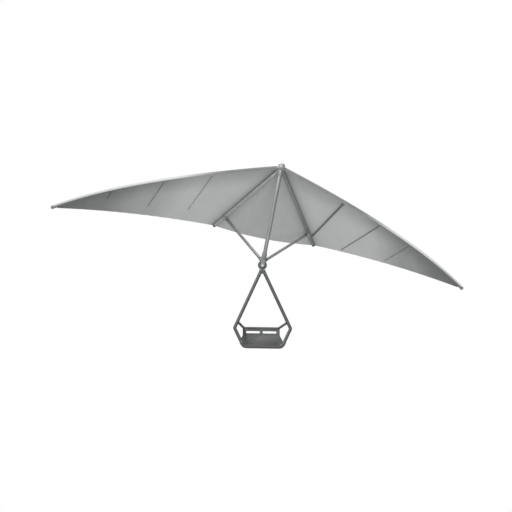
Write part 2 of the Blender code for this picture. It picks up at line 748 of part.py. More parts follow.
def make_seat_panel():
    """One bent sheet: the pan rises a little from the base bar and turns up into the back."""
    base = BASE_CORNER.z
    front = Vector((0, LEG_RADIUS, base + PAN_FRONT_RISE))
    heel = Vector((0, SEAT_DEPTH, base + PAN_REAR_RISE))
    top = Vector((0, SEAT_DEPTH, ARM_HEIGHT - RAIL_RADIUS - GAP * 2))
    line = [front] + rounded_corner(front, heel, top, BACK_BEND) + [top]
    half = PAN_THICKNESS / 2
    upper = []
    lower = []
    for index, point in enumerate(line):
        before = line[max(index - 1, 0)]
        after = line[min(index + 1, len(line) - 1)]
        along = (after - before).normalized()
        normal = Vector((0, -along.z, along.y))
        upper.append(point + half * normal)
        lower.append(point - half * normal)
    outline = upper + lower[::-1]
    bm = bmesh.new()
    rings = []
    for across in (-SEAT_HALF_WIDTH, SEAT_HALF_WIDTH):
        rings.append([Vector((across, point.y, point.z)) for point in outline])
    loft(bm, rings)
    panel = mesh_object("seat_panel", bm, "seat", SEAT)
    path = base_path()
    bar = swept_tube("base_guide", path, [LEG_RADIUS + GAP] * len(path), "dark", SEAT)
    combine(panel, "DIFFERENCE", bar)
    for side, sign in SIDES:
        low = (SLOT_INNER, SEAT_DEPTH - 0.05, top.z - SLOT_TOP - SLOT_HEIGHT)
        high = (SLOT_OUTER, SEAT_DEPTH + 0.05, top.z - SLOT_TOP)
        bm = bmesh.new()
        bmesh.ops.create_cube(bm, size=1.0)
        size = Vector(high) - Vector(low)
        middle = (Vector(high) + Vector(low)) / 2
        bmesh.ops.scale(bm, vec=size, verts=bm.verts)
        bmesh.ops.translate(bm, vec=Vector((sign * middle.x, middle.y, middle.z)), verts=bm.verts)
        through = [edge for edge in bm.edges if abs(edge.verts[0].co.y - edge.verts[1].co.y) > 0.01]
        bmesh.ops.bevel(bm, geom=through, offset=SLOT_ROUND, segments=4, profile=0.5, affect="EDGES")
        combine(panel, "DIFFERENCE", mesh_object("slot_guide_" + side, bm, "seat", SEAT))


def batten_line(sign, knob, station, end, reach, radius):
    """Points and radii under the sail, on the line that the watcher sees as straight."""
    last = sail_point(sign, end, reach)
    sight = (knob - WATCHER_AT_WING).cross(last - WATCHER_AT_WING).normalized()
    points = []
    radii = []
    for step in range(1, BATTEN_STEPS + 1):
        part = step / BATTEN_STEPS
        thin = radius * (1.0 - BATTEN_TAPER * part)
        drop = Vector((0, 0, SAIL_THICKNESS / 2 + thin + BATTEN_DROP))
        chord = BATTEN_FIRST_CHORD + (reach - BATTEN_FIRST_CHORD) * part
        across = station + (end - station) * part
        for aim in range(BATTEN_AIMS):
            here = sail_point(sign, across, chord) - drop
            slope = (sail_point(sign, across + FINE_GAP, chord) - drop - here) / FINE_GAP
            across -= sight.dot(here - WATCHER_AT_WING) / sight.dot(slope)
        points.append(sail_point(sign, across, chord) - drop)
        radii.append(thin)
    return points, radii


def make_batten(side, number, station, end, reach, radius):
    """A round rib under the sail, from a knob on the leading edge tube towards the back edge."""
    sign = dict(SIDES)[side]
    along, aft, up = edge_axes(sign, sail_fraction(station))
    knob = radius * BATTEN_KNOB
    height = EDGE_RADIUS + GAP - knob - FINE_GAP
    distance = math.sqrt((EDGE_RADIUS + KNOB_GAP + knob) ** 2 - height ** 2)
    center = straight_run(sign, station) + distance * aft + height * up
    path, radii = batten_line(sign, center, station, end, reach, radius)
    away = (path[0] - center).normalized()
    knob_path = [center + knob * share * away for share in KNOB_SHARES]
    knob_radii = [knob * math.sqrt(1 - share * share) for share in KNOB_SHARES]
    name = "batten_" + side + "_" + str(number)
    swept_tube(name, knob_path + path, knob_radii + radii, "dark", WING, sides=BATTEN_SIDES)


def build():
    for side, sign in SIDES:
        make_leading_edge(side, sign)
        make_keel(side, sign)
        make_side_sail(side, sign)
        make_strut(side, sign)
        make_strut_clamp(side, sign)
    for row in BATTENS:
        make_batten(*row)
    make_centre_sail()
    make_nose()
    make_centre_tube()
    make_collar()
    make_roll_pin()
    make_link()
    make_fork_head()
    make_cross_pin()
    for side, sign in SIDES:
        make_leg(side, sign)
        make_arm(side, sign)
    make_base_bar()
    make_back_rail()
    make_seat_panel()


build()
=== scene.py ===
# %% [markdown]
# # A hang glider with a hanging bucket seat
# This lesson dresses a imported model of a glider, piece by piece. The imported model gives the
# real sizes and the moving bodies, and it stays where it is. Each cell adds one real thing:
# the cloth of the wing, the tubes that spread it, the hub with its pins, and the seat.

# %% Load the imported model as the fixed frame
import math

import bpy
from mathutils import Matrix, Vector, noise


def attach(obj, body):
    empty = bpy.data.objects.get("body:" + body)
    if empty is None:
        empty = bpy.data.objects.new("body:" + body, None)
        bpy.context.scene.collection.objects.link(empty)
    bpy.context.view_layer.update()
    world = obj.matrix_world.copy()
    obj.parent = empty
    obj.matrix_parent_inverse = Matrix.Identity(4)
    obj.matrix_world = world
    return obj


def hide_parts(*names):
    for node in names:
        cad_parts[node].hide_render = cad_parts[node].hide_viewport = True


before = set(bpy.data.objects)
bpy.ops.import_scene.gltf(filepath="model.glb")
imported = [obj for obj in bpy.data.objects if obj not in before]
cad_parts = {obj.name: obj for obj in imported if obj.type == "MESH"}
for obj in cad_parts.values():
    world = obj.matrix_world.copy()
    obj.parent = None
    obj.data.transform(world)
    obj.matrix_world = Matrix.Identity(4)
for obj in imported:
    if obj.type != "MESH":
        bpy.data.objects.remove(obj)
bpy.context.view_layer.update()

# %% [markdown]
# ## The camera
# The glider is seen from the ground while it flies past, so the camera stands on the floor,
# far off, and looks up. A long lens keeps the wing's two halves nearly the same size. The aim
# is turned a little, so that the hub's pin lands on its place in the picture.

# %% Camera on the ground, looking up at the hub
PICTURE = 512
SENSOR = 36.0
FOCAL_PIXELS = 1100.0
METRES_PER_PIXEL = 0.0178
CAMERA_BELOW = math.radians(18.0)
CAMERA_TURN = math.radians(-4.0)
HUB_PIXEL = (262.4, 265.2)

distance = FOCAL_PIXELS * METRES_PER_PIXEL
ahead = Vector((0, math.cos(CAMERA_BELOW), math.sin(CAMERA_BELOW)))
rise = Vector((0, -math.sin(CAMERA_BELOW), math.cos(CAMERA_BELOW)))
off_right = (HUB_PIXEL[0] - PICTURE / 2) / FOCAL_PIXELS
off_down = (HUB_PIXEL[1] - PICTURE / 2) / FOCAL_PIXELS
aim = ahead - off_right * Vector((1, 0, 0)) + off_down * rise
turn = Matrix.Rotation(CAMERA_TURN, 3, "Z")

camera_data = bpy.data.cameras.new("ground_camera")
camera_data.sensor_width = SENSOR
camera_data.lens = SENSOR * FOCAL_PIXELS / PICTURE
camera_data.clip_end = 500.0
camera = bpy.data.objects.new("ground_camera", camera_data)
camera.location = turn @ (-distance * ahead)
camera.rotation_mode = "QUATERNION"
camera.rotation_quaternion = (turn @ aim).to_track_quat("-Z", "Y")
bpy.context.scene.collection.objects.link(camera)
bpy.context.scene.camera = camera
print("camera", [round(v, 2) for v in camera.location], "lens", round(camera_data.lens, 1))

# %% [markdown]
# ## Floor
# A pale floor lies at the camera's feet, out of sight in the main picture, and throws soft
# light up under the wing, as a studio floor does. One large plane does it.

# %% A pale floor under the camera
FLOOR_DROP = 0.12
FLOOR_SIZE = 400.0
FLOOR_GREY = 0.82

bpy.ops.mesh.primitive_plane_add(size=FLOOR_SIZE, location=(0, 0, camera.location.z - FLOOR_DROP))
floor = bpy.context.object
floor.name = "studio_floor"
paint = bpy.data.materials.new("floor_paint")
paint.use_nodes = True
floor_shader = paint.node_tree.nodes["Principled BSDF"]
floor_shader.inputs["Base Color"].default_value = (FLOOR_GREY, FLOOR_GREY, FLOOR_GREY, 1)
floor_shader.inputs["Roughness"].default_value = 0.9
floor.data.materials.append(paint)
print("floor at", round(floor.location.z, 2))

# %% [markdown]
# ## Backdrop and lamps
# The camera sees a plain white world, while the pieces are lit by a weaker, slightly blue one.
# A mix of two backgrounds by the light path does that. High up in front hangs one large soft
# lamp, so the top of each tube is bright and its underside is dark, and a small one fills in.

# %% A white backdrop with a softer sky behind it
BACKDROP = 1.0
SKY_LIGHT = 0.30
SKY_COLOR = (0.96, 0.98, 1.0)

world = bpy.data.worlds.new("studio")
bpy.context.scene.world = world
world.use_nodes = True
web = world.node_tree
backdrop = web.nodes["Background"]
backdrop.inputs["Color"].default_value = (1, 1, 1, 1)
backdrop.inputs["Strength"].default_value = BACKDROP
sky = web.nodes.new("ShaderNodeBackground")
sky.inputs["Color"].default_value = (*SKY_COLOR, 1)
sky.inputs["Strength"].default_value = SKY_LIGHT
path = web.nodes.new("ShaderNodeLightPath")
choose = web.nodes.new("ShaderNodeMixShader")
web.links.new(path.outputs["Is Camera Ray"], choose.inputs["Fac"])
web.links.new(sky.outputs["Background"], choose.inputs[1])
web.links.new(backdrop.outputs["Background"], choose.inputs[2])
web.links.new(choose.outputs["Shader"], web.nodes["World Output"].inputs["Surface"])
bpy.context.scene.view_settings.view_transform = "Standard"
print("backdrop", BACKDROP, "sky", SKY_LIGHT)


# %% Soft lights: name, place, size in metres, watts
def soft_light(name, place, size, watts):
    """A square lamp that faces the hub and that the camera doesn't see itself."""
    data = bpy.data.lights.new(name, "AREA")
    data.shape = "SQUARE"
    data.size = size
    data.energy = watts
    lamp = bpy.data.objects.new(name, data)
    lamp.location = place
    lamp.rotation_mode = "QUATERNION"
    lamp.rotation_quaternion = (-Vector(place)).to_track_quat("-Z", "Y")
    lamp.visible_camera = False
    bpy.context.scene.collection.objects.link(lamp)


LIGHTS = (
    ("key_above", (-5.0, -10.0, 10.0), 6.0, 2900.0),
    ("front_fill", (0.5, -8.0, -4.5), 3.0, 230.0),
)
for row in LIGHTS:
    soft_light(*row)
print("lights", [row[0] for row in LIGHTS])

# %% [markdown]
# ## The glider's own axes
# The wing flies nose up and banked, the hub's pin stands square to the centre tube, and the
# seat hangs plumb. Each piece is easier to make in its own part's axes and then turned to the
# world by one matrix. These sizes are the frame's own, repeated so that new pieces fit it.

# %% Sizes of the wing
NOSE = Vector((0.0, -1.20, 1.31))
TIP = Vector((4.09, 1.235, 1.666))
KEEL_END = Vector((0.950, 0.522, 1.31))
EDGE_BOW = (0.21, -0.04, 0.39)
TUBE_START = 0.135
EDGE_RADIUS = 0.032
KEEL_RADIUS = 0.030
CENTRE_RADIUS = 0.034
STRUT_RADIUS = 0.0255
FIT = 0.0003
FOOT = 0.108 * NOSE.normalized()
EDGE_LENGTH = (TIP - NOSE).length
UP = Vector((0, 0, 1))
SIDES = (("left", 1.0), ("right", -1.0))
print("leading edge", round(EDGE_LENGTH, 3), "m")

# %% Matrices of the wing, the hub, its pin and the seat
NOSE_UP = math.radians(25.7)
BANK = math.radians(10.0)
SEAT_TILT = math.radians(2.83)
CROSS_PIN_DROP = 0.105

tube_lean = math.atan2(-NOSE.y, NOSE.z)
STRUT_ROOT = Matrix.Rotation(tube_lean, 3, "X") @ Vector((0, 0.052, 0.062))
pin_tilt = tube_lean - NOSE_UP
PIN_AXES = Matrix.Rotation(pin_tilt, 4, "X")
HUB_AXES = PIN_AXES @ Matrix.Rotation(BANK, 4, "Y")
WING_AXES = HUB_AXES @ Matrix.Rotation(-tube_lean, 4, "X")
SEAT_DROP = Matrix.Translation((0, 0, -CROSS_PIN_DROP))
SEAT_AXES = PIN_AXES @ SEAT_DROP @ Matrix.Rotation(-pin_tilt - SEAT_TILT, 4, "X")
print("nose at", [round(v, 3) for v in WING_AXES @ NOSE])

# %% [markdown]
# ## Lines that several pieces share
# The front tube is bowed, so the sail, the ribs, the tube and its cap all ask the same question:
# where is its centre, and which way is aft, at some share of its length? One function answers it
# for all of them, so the pieces meet without any fitting by eye.


# %% Lines of the wing that several pieces share
def mirrored(point, sign):
    return Vector((point[0] * sign, point[1], point[2]))


def nose_way(end):
    """Direction from the nose to a point of the wing."""
    return (end - NOSE).normalized()


def leading_edge(sign, fraction):
    """Centre of a leading edge tube at a fraction of its length, as the frame bends it."""
    tip = mirrored(TIP, sign)
    forward = nose_way(tip).cross(UP).normalized() * sign
    arch = 4 * fraction * (1 - fraction) * (1 + EDGE_BOW[2] * (fraction - 0.5))
    return NOSE.lerp(tip, fraction) + arch * (EDGE_BOW[0] * forward + EDGE_BOW[1] * UP)


def edge_axes(sign, fraction):
    """Along the tube, aft in the sail and up, at one place on a leading edge."""
    step = 0.01
    ahead_point = leading_edge(sign, min(fraction + step, 1.0))
    along = (ahead_point - leading_edge(sign, max(fraction - step, 0.0))).normalized()
    up = along.cross(nose_way(mirrored(KEEL_END, sign))).normalized() * sign
    return along, up.cross(along).normalized() * sign, up


STRUT_SEAT = 0.846


def strut_seat(sign):
    """Where a strut's line meets its keel tube."""
    return NOSE.lerp(mirrored(KEEL_END, sign), STRUT_SEAT)


def strut_line(sign):
    """Direction of a strut, from the hub up to its keel tube."""
    return (strut_seat(sign) - STRUT_ROOT).normalized()


print("strut", round((strut_seat(1.0) - STRUT_ROOT).length, 3), "m")

# %% [markdown]
# ## Helpers for modelling by hand
# The same few moves come back in every piece: deselect all, add a primitive, pick faces or
# edges by where they are, shape them in edit mode, and apply the transform at the end. Short
# helpers keep each later cell to the shape itself.


# %% Selecting pieces and going to edit mode
def deselect_all():
    bpy.ops.object.select_all(action="DESELECT")


def select_only(piece):
    deselect_all()
    piece.select_set(True)
    bpy.context.view_layer.objects.active = piece


def edit_all(piece):
    """Go to edit mode with everything selected."""
    select_only(piece)
    bpy.ops.object.mode_set(mode="EDIT")
    bpy.ops.mesh.select_all(action="SELECT")


def leave_edit():
    bpy.ops.object.mode_set(mode="OBJECT")


def edit_only(piece, kind, is_wanted):
    """Go to edit mode with only the wanted vertices, edges or faces selected."""
    edit_all(piece)
    bpy.ops.mesh.select_all(action="DESELECT")
    leave_edit()
    mesh = piece.data
    for item in {"VERT": mesh.vertices, "EDGE": mesh.edges, "FACE": mesh.polygons}[kind]:
        item.select = is_wanted(item)
    bpy.ops.object.mode_set(mode="EDIT")
    bpy.ops.mesh.select_mode(type=kind)


def apply_transform():
    bpy.ops.object.transform_apply(location=True, rotation=True, scale=True)


print("selection helpers ready")


# %% Changing a piece as a whole
def close_and_point_out(piece):
    """Merge doubled points, then turn every face outwards."""
    edit_all(piece)
    bpy.ops.mesh.remove_doubles(threshold=0.00002)
    bpy.ops.mesh.normals_make_consistent(inside=False)
    leave_edit()


def add_bevel(piece, width, segments=3, angle=40.0):
    """Round every edge that is sharper than the angle."""
    select_only(piece)
    bpy.ops.object.modifier_add(type="BEVEL")
    bevel = piece.modifiers[-1]
    bevel.width = width
    bevel.segments = segments
    bevel.limit_method = "ANGLE"
    bevel.angle_limit = math.radians(angle)
    bevel.harden_normals = False
    bpy.ops.object.modifier_apply(modifier=bevel.name)


def thicken(piece, thickness, even=False):
    """Give a sheet its thickness, half to each side."""
    select_only(piece)
    bpy.ops.object.modifier_add(type="SOLIDIFY")
    thick = piece.modifiers[-1]
    thick.thickness = thickness
    thick.offset = 0.0
    thick.use_even_offset = even
    bpy.ops.object.modifier_apply(modifier=thick.name)


def combine(piece, other, operation):
    """Boolean of two pieces, which uses up the second one."""
    select_only(piece)
    bpy.ops.object.modifier_add(type="BOOLEAN")
    boolean = piece.modifiers[-1]
    boolean.operation = operation
    boolean.object = other
    boolean.solver = "EXACT"
    bpy.ops.object.modifier_apply(modifier=boolean.name)
    bpy.data.objects.remove(other, do_unlink=True)


def join(pieces, name):
    """One piece from several that never move apart."""
    select_only(pieces[0])
    for piece in pieces[1:]:
        piece.select_set(True)
    bpy.ops.object.join()
    pieces[0].name = name
    return pieces[0]


def copy_of(source, name, matrix):
    """A copy with its own mesh, moved by a matrix."""
    piece = source.copy()
    piece.data = source.data.copy()
    piece.name = name
    bpy.context.scene.collection.objects.link(piece)
    piece.data.transform(matrix)
    return piece


print("shaping helpers ready")

# %% [markdown]
# ## Putting a piece in its place
# Every piece is made in its part's own axes. At the end it is turned to the world, its place
# goes into its mesh, its curved faces are shaded smooth, and it gets its material and the body
# that it moves with. Where it stands for a frame node, that node is hidden.


# %% Place, shade and dress
def place(piece, axes):
    """Turn a piece from its part's axes to the world, and put its place into its mesh."""
    select_only(piece)
    piece.matrix_world = axes @ piece.matrix_world
    apply_transform()


def shade(piece, angle=38.0):
    """Smooth every edge that is blunter than the angle."""
    select_only(piece)
    bpy.ops.object.shade_smooth_by_angle(angle=math.radians(angle))


def dress(piece, material, body, stands_for=()):
    """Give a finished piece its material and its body."""
    piece.data.materials.clear()
    piece.data.materials.append(material)
    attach(piece, body)
    if stands_for:
        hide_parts(*stands_for)


def wing_piece(piece, material, stands_for=(), angle=38.0, axes=WING_AXES):
    place(piece, axes)
    shade(piece, angle)
    dress(piece, material, "wing", stands_for)


def link_piece(piece, material, stands_for=(), angle=38.0):
    place(piece, PIN_AXES)
    shade(piece, angle)
    dress(piece, material, "link", stands_for)


def seat_piece(piece, material, stands_for=(), angle=38.0):
    place(piece, SEAT_AXES)
    shade(piece, angle)
    dress(piece, material, "seat", stands_for)


print("pieces ride on wing, link or seat")

# %% [markdown]
# ## Bars, tubes, turned shapes and blocks
# Nearly all of the glider is made of four kinds of stock. A round bar is a cylinder with
# bevelled rims. A bent tube is a curve with a round section, made a mesh. A turned shape is a
# disc, extruded and scaled ring by ring along its profile. A block is a cube with its edges
# rounded.


# %% Round bars and bent tubes
def turned_to(direction):
    """Matrix that turns Z to a direction."""
    return Vector(direction).to_track_quat("Z", "Y").to_matrix().to_4x4()


def rod(name, start, end, radius, sides=48, edge=0.0015):
    """A round bar between two points with its rims rounded."""
    run = end - start
    deselect_all()
    bpy.ops.mesh.primitive_cylinder_add(
        vertices=sides, radius=radius, depth=run.length,
        location=(start + end) / 2, rotation=turned_to(run).to_euler(),
    )
    piece = bpy.context.object
    piece.name = name
    if edge:
        add_bevel(piece, edge, 2)
    return piece


def bent_tube(name, points, radius, resolution=14, radii=None, ring=False):
    """A round tube along a list of points: a bevelled curve, made a mesh and closed."""
    deselect_all()
    bpy.ops.curve.primitive_bezier_curve_add(location=(0, 0, 0))
    piece = bpy.context.object
    piece.name = name
    curve = piece.data
    curve.splines.clear()
    run = curve.splines.new("POLY")
    run.points.add(len(points) - 1)
    for spot, point in zip(run.points, points):
        spot.co = (*point, 1.0)
    for spot, thickness in zip(run.points, radii or []):
        spot.radius = thickness
    run.use_cyclic_u = ring
    curve.twist_mode = "MINIMUM"
    curve.bevel_depth = radius
    curve.bevel_resolution = resolution
    curve.use_fill_caps = not ring
    bpy.ops.object.convert(target="MESH")
    close_and_point_out(piece)
    return piece


print("bars and tubes ready")

# %% [markdown]
# ## Turned shapes and blocks
# The real collar, sockets, caps and pins are turned on a lathe. Spin could sweep a profile round
# an axis, but a disc that is extruded and scaled row by row gives the same shape from a short
# list of heights and radii, and both of its ends are closed from the start.


# %% Turned shapes, sleeves and blocks
def turned(name, profile, start, direction, sides=48):
    """A turned shape from (height, radius) rows along its axis."""
    deselect_all()
    first = profile[0]
    bpy.ops.mesh.primitive_circle_add(
        vertices=sides, radius=first[1], fill_type="NGON", location=(0, 0, first[0])
    )
    piece = bpy.context.object
    piece.name = name
    edit_all(piece)
    for (before, radius), (after, wider) in zip(profile, profile[1:]):
        bpy.ops.mesh.extrude_region_move(TRANSFORM_OT_translate={"value": (0, 0, after - before)})
        bpy.ops.transform.resize(value=(wider / radius, wider / radius, 1.0))
    leave_edit()
    select_only(piece)
    apply_transform()
    piece.matrix_world = Matrix.Translation(start) @ turned_to(direction)
    apply_transform()
    close_and_point_out(piece)
    return piece


def sleeve(name, start, direction, length, inner, outer, lip=0.0015):
    """A short tube pushed over another one, with both of its lips rounded."""
    rim = [(0.0, outer - lip), (0.3 * lip, outer - 0.3 * lip), (lip, outer)]
    other = [(length - depth, radius) for depth, radius in rim[::-1]]
    profile = [(0.0, inner)] + rim + other + [(length, inner)]
    return turned(name, profile, start, direction)


def block(name, low, high, edge=0.003):
    """A box between two corners, with rounded edges."""
    low, high = Vector(low), Vector(high)
    deselect_all()
    bpy.ops.mesh.primitive_cube_add(size=1.0, location=(low + high) / 2, scale=high - low)
    piece = bpy.context.object
    piece.name = name
    if edge:
        add_bevel(piece, edge, 3)
    return piece


def dome_rows(base, height, radius, step, count):
    """Profile rows of a dome, from its widest ring up to near its top."""
    angles = [math.radians(step * number) for number in range(count)]
    return [(base + height * math.sin(angle), radius * math.cos(angle)) for angle in angles]


print("turned shapes and blocks ready")

# %% [markdown]
# ## Finishes
# Every finish is a small node tree. Patterns read Object coordinates, so they sit still on the
# piece, and each has the grain of the real surface: the drawn lines of anodised tube, the peel
# of powder coat, the weave of sailcloth. Values that are the same all over stay on the shader.


# %% Small node helpers
class Finish:
    """A material that is built up step by step."""

    def __init__(self, name, color, roughness, metallic=0.0):
        self.material = bpy.data.materials.new(name)
        self.material.use_nodes = True
        self.tree = self.material.node_tree
        self.shader = self.tree.nodes["Principled BSDF"]
        self.shader.inputs["Base Color"].default_value = (*color, 1.0)
        self.shader.inputs["Roughness"].default_value = roughness
        self.shader.inputs["Metallic"].default_value = metallic
        self.color = color
        self.bump_tail = None

    def node(self, kind, **settings):
        made = self.tree.nodes.new(kind)
        for key, value in settings.items():
            setattr(made, key, value)
        return made

    def link(self, source, target):
        self.tree.links.new(source, target)

    def coordinates(self, scale=(1, 1, 1), turn_by=(0, 0, 0)):
        where = self.node("ShaderNodeTexCoord")
        mapping = self.node("ShaderNodeMapping")
        mapping.inputs["Scale"].default_value = scale
        mapping.inputs["Rotation"].default_value = turn_by
        self.link(where.outputs["Object"], mapping.inputs["Vector"])
        return mapping.outputs["Vector"]

    def noise(self, where, scale, detail=4.0, rough=0.55):
        made = self.node("ShaderNodeTexNoise")
        made.inputs["Scale"].default_value = scale
        made.inputs["Detail"].default_value = detail
        made.inputs["Roughness"].default_value = rough
        self.link(where, made.inputs["Vector"])
        return made.outputs["Fac"]

    def spread(self, value, low, high, from_low=0.3, from_high=0.7):
        """Stretch a value's middle range to a new range."""
        made = self.node("ShaderNodeMapRange")
        made.inputs["From Min"].default_value = from_low
        made.inputs["From Max"].default_value = from_high
        made.inputs["To Min"].default_value = low
        made.inputs["To Max"].default_value = high
        self.link(value, made.inputs["Value"])
        return made.outputs["Result"]

    def math(self, operation, first, second=None):
        made = self.node("ShaderNodeMath", operation=operation)
        for socket, value in zip(made.inputs, (first, second)):
            if value is None:
                continue
            if isinstance(value, (int, float)):
                socket.default_value = value
            else:
                self.link(value, socket)
        return made.outputs["Value"]

    def mottle(self, factor, darker, lighter):
        """Vary the base colour between a darker and a lighter shade of itself."""
        dark = tuple(darker * part for part in self.color)
        light = tuple(min(lighter * part, 1.0) for part in self.color)
        return self.tint(self.spread(factor, 0.0, 1.0), dark, light)

    def tint(self, factor, dark, light):
        """Mix between two colours and send it on to the base colour."""
        mix = self.node("ShaderNodeMix", data_type="RGBA")
        self.link(factor, mix.inputs["Factor"])
        mix.inputs["A"].default_value = (*dark, 1.0)
        mix.inputs["B"].default_value = (*light, 1.0)
        self.link(mix.outputs["Result"], self.shader.inputs["Base Color"])
        return mix.outputs["Result"]

    def roughen(self, factor, low, high):
        self.link(self.spread(factor, low, high), self.shader.inputs["Roughness"])

    def bump(self, height, distance, strength=1.0):
        """Add a relief on top of the ones before it."""
        made = self.node("ShaderNodeBump")
        made.inputs["Distance"].default_value = distance
        made.inputs["Strength"].default_value = strength
        self.link(height, made.inputs["Height"])
        if self.bump_tail:
            self.link(self.bump_tail, made.inputs["Normal"])
        self.bump_tail = made.outputs["Normal"]
        self.link(self.bump_tail, self.shader.inputs["Normal"])


print("node helpers ready")


# %% Metals: anodised tube and machined aluminium
def lengthwise(direction):
    """Turn that brings a direction onto Z, for a pattern that runs along a tube."""
    return Vector(direction).rotation_difference(UP).to_euler()


def anodised(name, way, color):
    """Satin anodised tube of the wing: fine drawn lines along it and a slight mottle."""
    finish = Finish(name, color, 0.46, 0.35)
    turn_by = lengthwise(WING_AXES.to_3x3() @ way)
    lines = finish.noise(finish.coordinates((900, 900, 12), turn_by), 1.0, 3.0)
    finish.mottle(finish.noise(finish.coordinates(), 7.0, 5.0), 0.86, 1.08)
    finish.roughen(lines, 0.40, 0.54)
    finish.bump(lines, 0.00012, 0.5)
    return finish.material


def machined(name, color=(0.30, 0.31, 0.31), metallic=0.25, roughness=(0.46, 0.60)):
    """Fine machined aluminium with faint swirl and handling marks."""
    finish = Finish(name, color, 0.5, metallic)
    swirl = finish.noise(finish.coordinates((60, 60, 900)), 1.0, 3.0)
    marks = finish.noise(finish.coordinates(), 35.0, 6.0, 0.7)
    finish.mottle(marks, 0.88, 1.05)
    finish.roughen(marks, *roughness)
    finish.bump(swirl, 0.0001, 0.4)
    return finish.material


def soft_grey(level):
    """A grey with a trace of green and blue, as on the tubes."""
    return (level, 1.02 * level, 1.02 * level)


BRIGHT = machined("machined_aluminium")
PIN_STEEL = machined("polished_pin_steel", (0.52, 0.53, 0.53), 0.5, (0.28, 0.40))
HUB_CAST = machined("hub_casting", (0.19, 0.20, 0.20))
BOLT_STEEL = machined("zinc_bolt_steel", (0.42, 0.43, 0.43), 0.5, (0.32, 0.46))
print("metals", [m.name for m in (BRIGHT, PIN_STEEL, HUB_CAST, BOLT_STEEL)])

# %% [markdown]
# ## Powder coat
# The seat's frame and the link are powder coated. The powder melts into an even skin with a fine
# orange peel, and dust settles on it. A flat colour would look like toy plastic, so a small noise
# lifts the surface, and a broad one varies the tone.


# %% Powder coat
def coated(name, color):
    """Powder coat: an even colour over a fine orange peel, a little worn and dusty."""
    finish = Finish(name, color, 0.5)
    pebbles = finish.noise(finish.coordinates(), 420.0, 2.0)
    dust = finish.noise(finish.coordinates(), 9.0, 6.0, 0.6)
    finish.mottle(dust, 0.90, 1.10)
    finish.roughen(dust, 0.44, 0.60)
    finish.bump(pebbles, 0.00035, 0.6)
    return finish.material


LINK_PAINT = coated("dark_link_paint", (0.070, 0.078, 0.076))
FRAME_COAT = coated("green_grey_powder_coat", (0.058, 0.066, 0.064))
# The base bar and the back rail wear the frame's powder coat in a darker and a lighter copy: painted
# shade on the base bar, painted light on the rail.
BASE_COAT_PAINTED_SHADE = coated("powder_coat_painted_shade", (0.046, 0.052, 0.050))
RAIL_COAT_PAINTED_LIGHT = coated("powder_coat_painted_light", (0.086, 0.096, 0.093))
print("coats", [m.name for m in (LINK_PAINT, FRAME_COAT, BASE_COAT_PAINTED_SHADE, RAIL_COAT_PAINTED_LIGHT)])

# %% [markdown]
# ## Plastic, rubber and webbing
# Caps, grips, the seat and its binding have a grain that hides scratches. A texture of small
# cells gives such a grain without an image. One recipe serves them all, because only the colour,
# the size of the grain, its depth and the roughness differ.


# %% Moulded plastic, rubber and webbing
def moulded(name, color, grain=260.0, depth=0.0004, roughness=(0.5, 0.66)):
    """Moulded plastic with a pebbled grain, from cells whose edges sink a little."""
    finish = Finish(name, color, 0.55)
    where = finish.coordinates()
    cells = finish.node("ShaderNodeTexVoronoi", feature="DISTANCE_TO_EDGE")
    cells.inputs["Scale"].default_value = grain
    finish.link(where, cells.inputs["Vector"])
    height = finish.spread(cells.outputs["Distance"], 0.0, 1.0, 0.0, 0.35)
    mottle = finish.noise(where, 6.0, 6.0)
    finish.mottle(mottle, 0.88, 1.12)
    finish.roughen(mottle, *roughness)
    finish.bump(height, depth, 0.7)
    return finish.material


FINE_GRAIN = 900.0
SOFT = (0.62, 0.78)
GRIP_RUBBER = moulded("ribbed_grip_rubber", (0.125, 0.132, 0.130), FINE_GRAIN, 0.0002, SOFT)
RUBBER = moulded("black_rubber", (0.035, 0.037, 0.037), FINE_GRAIN, 0.0002, SOFT)
DARK_PLASTIC = moulded("dark_moulded_plastic", (0.055, 0.058, 0.058))
PALE_PLASTIC = moulded("pale_moulded_plastic", (0.50, 0.51, 0.51))
PANEL_GRAIN = moulded("grained_seat_panel", (0.072, 0.072, 0.072), 340.0, 0.0005)
BINDING = moulded("dark_woven_binding", (0.080, 0.084, 0.083), 620.0, 0.0003, (0.66, 0.80))
HEM_CLOTH = moulded("folded_hem_cloth", (0.62, 0.625, 0.625), FINE_GRAIN, 0.0002, (0.6, 0.74))
print("finishes so far", len(bpy.data.materials))

# %% [markdown]
# ## Sailcloth
# The sail is coated polyester, woven so tightly that it looks like paper from a step away. Its
# own UV map is laid out in metres, so the weave, the panel seams and their double stitching
# follow the cloth over the pocket. A second attribute holds painted shade: the cloth is coloured
# darker at the front edge, beside the keel tubes and towards the tips. A third one marks the
# white tape that guards the front of the sleeve, from a third of the span outwards; it also paints
# the lit top of the sleeve, as a painted highlight that differs per side.

# %% The sailcloth finish
CLOTH_MAP = "cloth_metres"
CLOTH_SHADE_ATTRIBUTE = "painted_cloth_shade"
EDGE_TAPE_AND_HIGHLIGHT = "edge_tape_and_highlight"
# The darker grey is painted shade: the cloth takes it where the shade attribute is low. The lighter
# grey is the cloth's own colour.
SHADED_CLOTH = (0.12, 0.124, 0.126)
LIGHT_CLOTH = (0.55, 0.555, 0.555)
# The tape's white also paints the lit top of the sleeve, a painted highlight.
TAPE_AND_HIGHLIGHT_WHITE = (0.90, 0.905, 0.905)
SEAM_PITCH = 0.62
SEAM_WIDTH = 0.012
STITCH_WIDTH = 0.0009
STITCH_RATE = 1200.0
THREAD_PITCH = 0.0011
RIPSTOP_PITCH = 0.0065


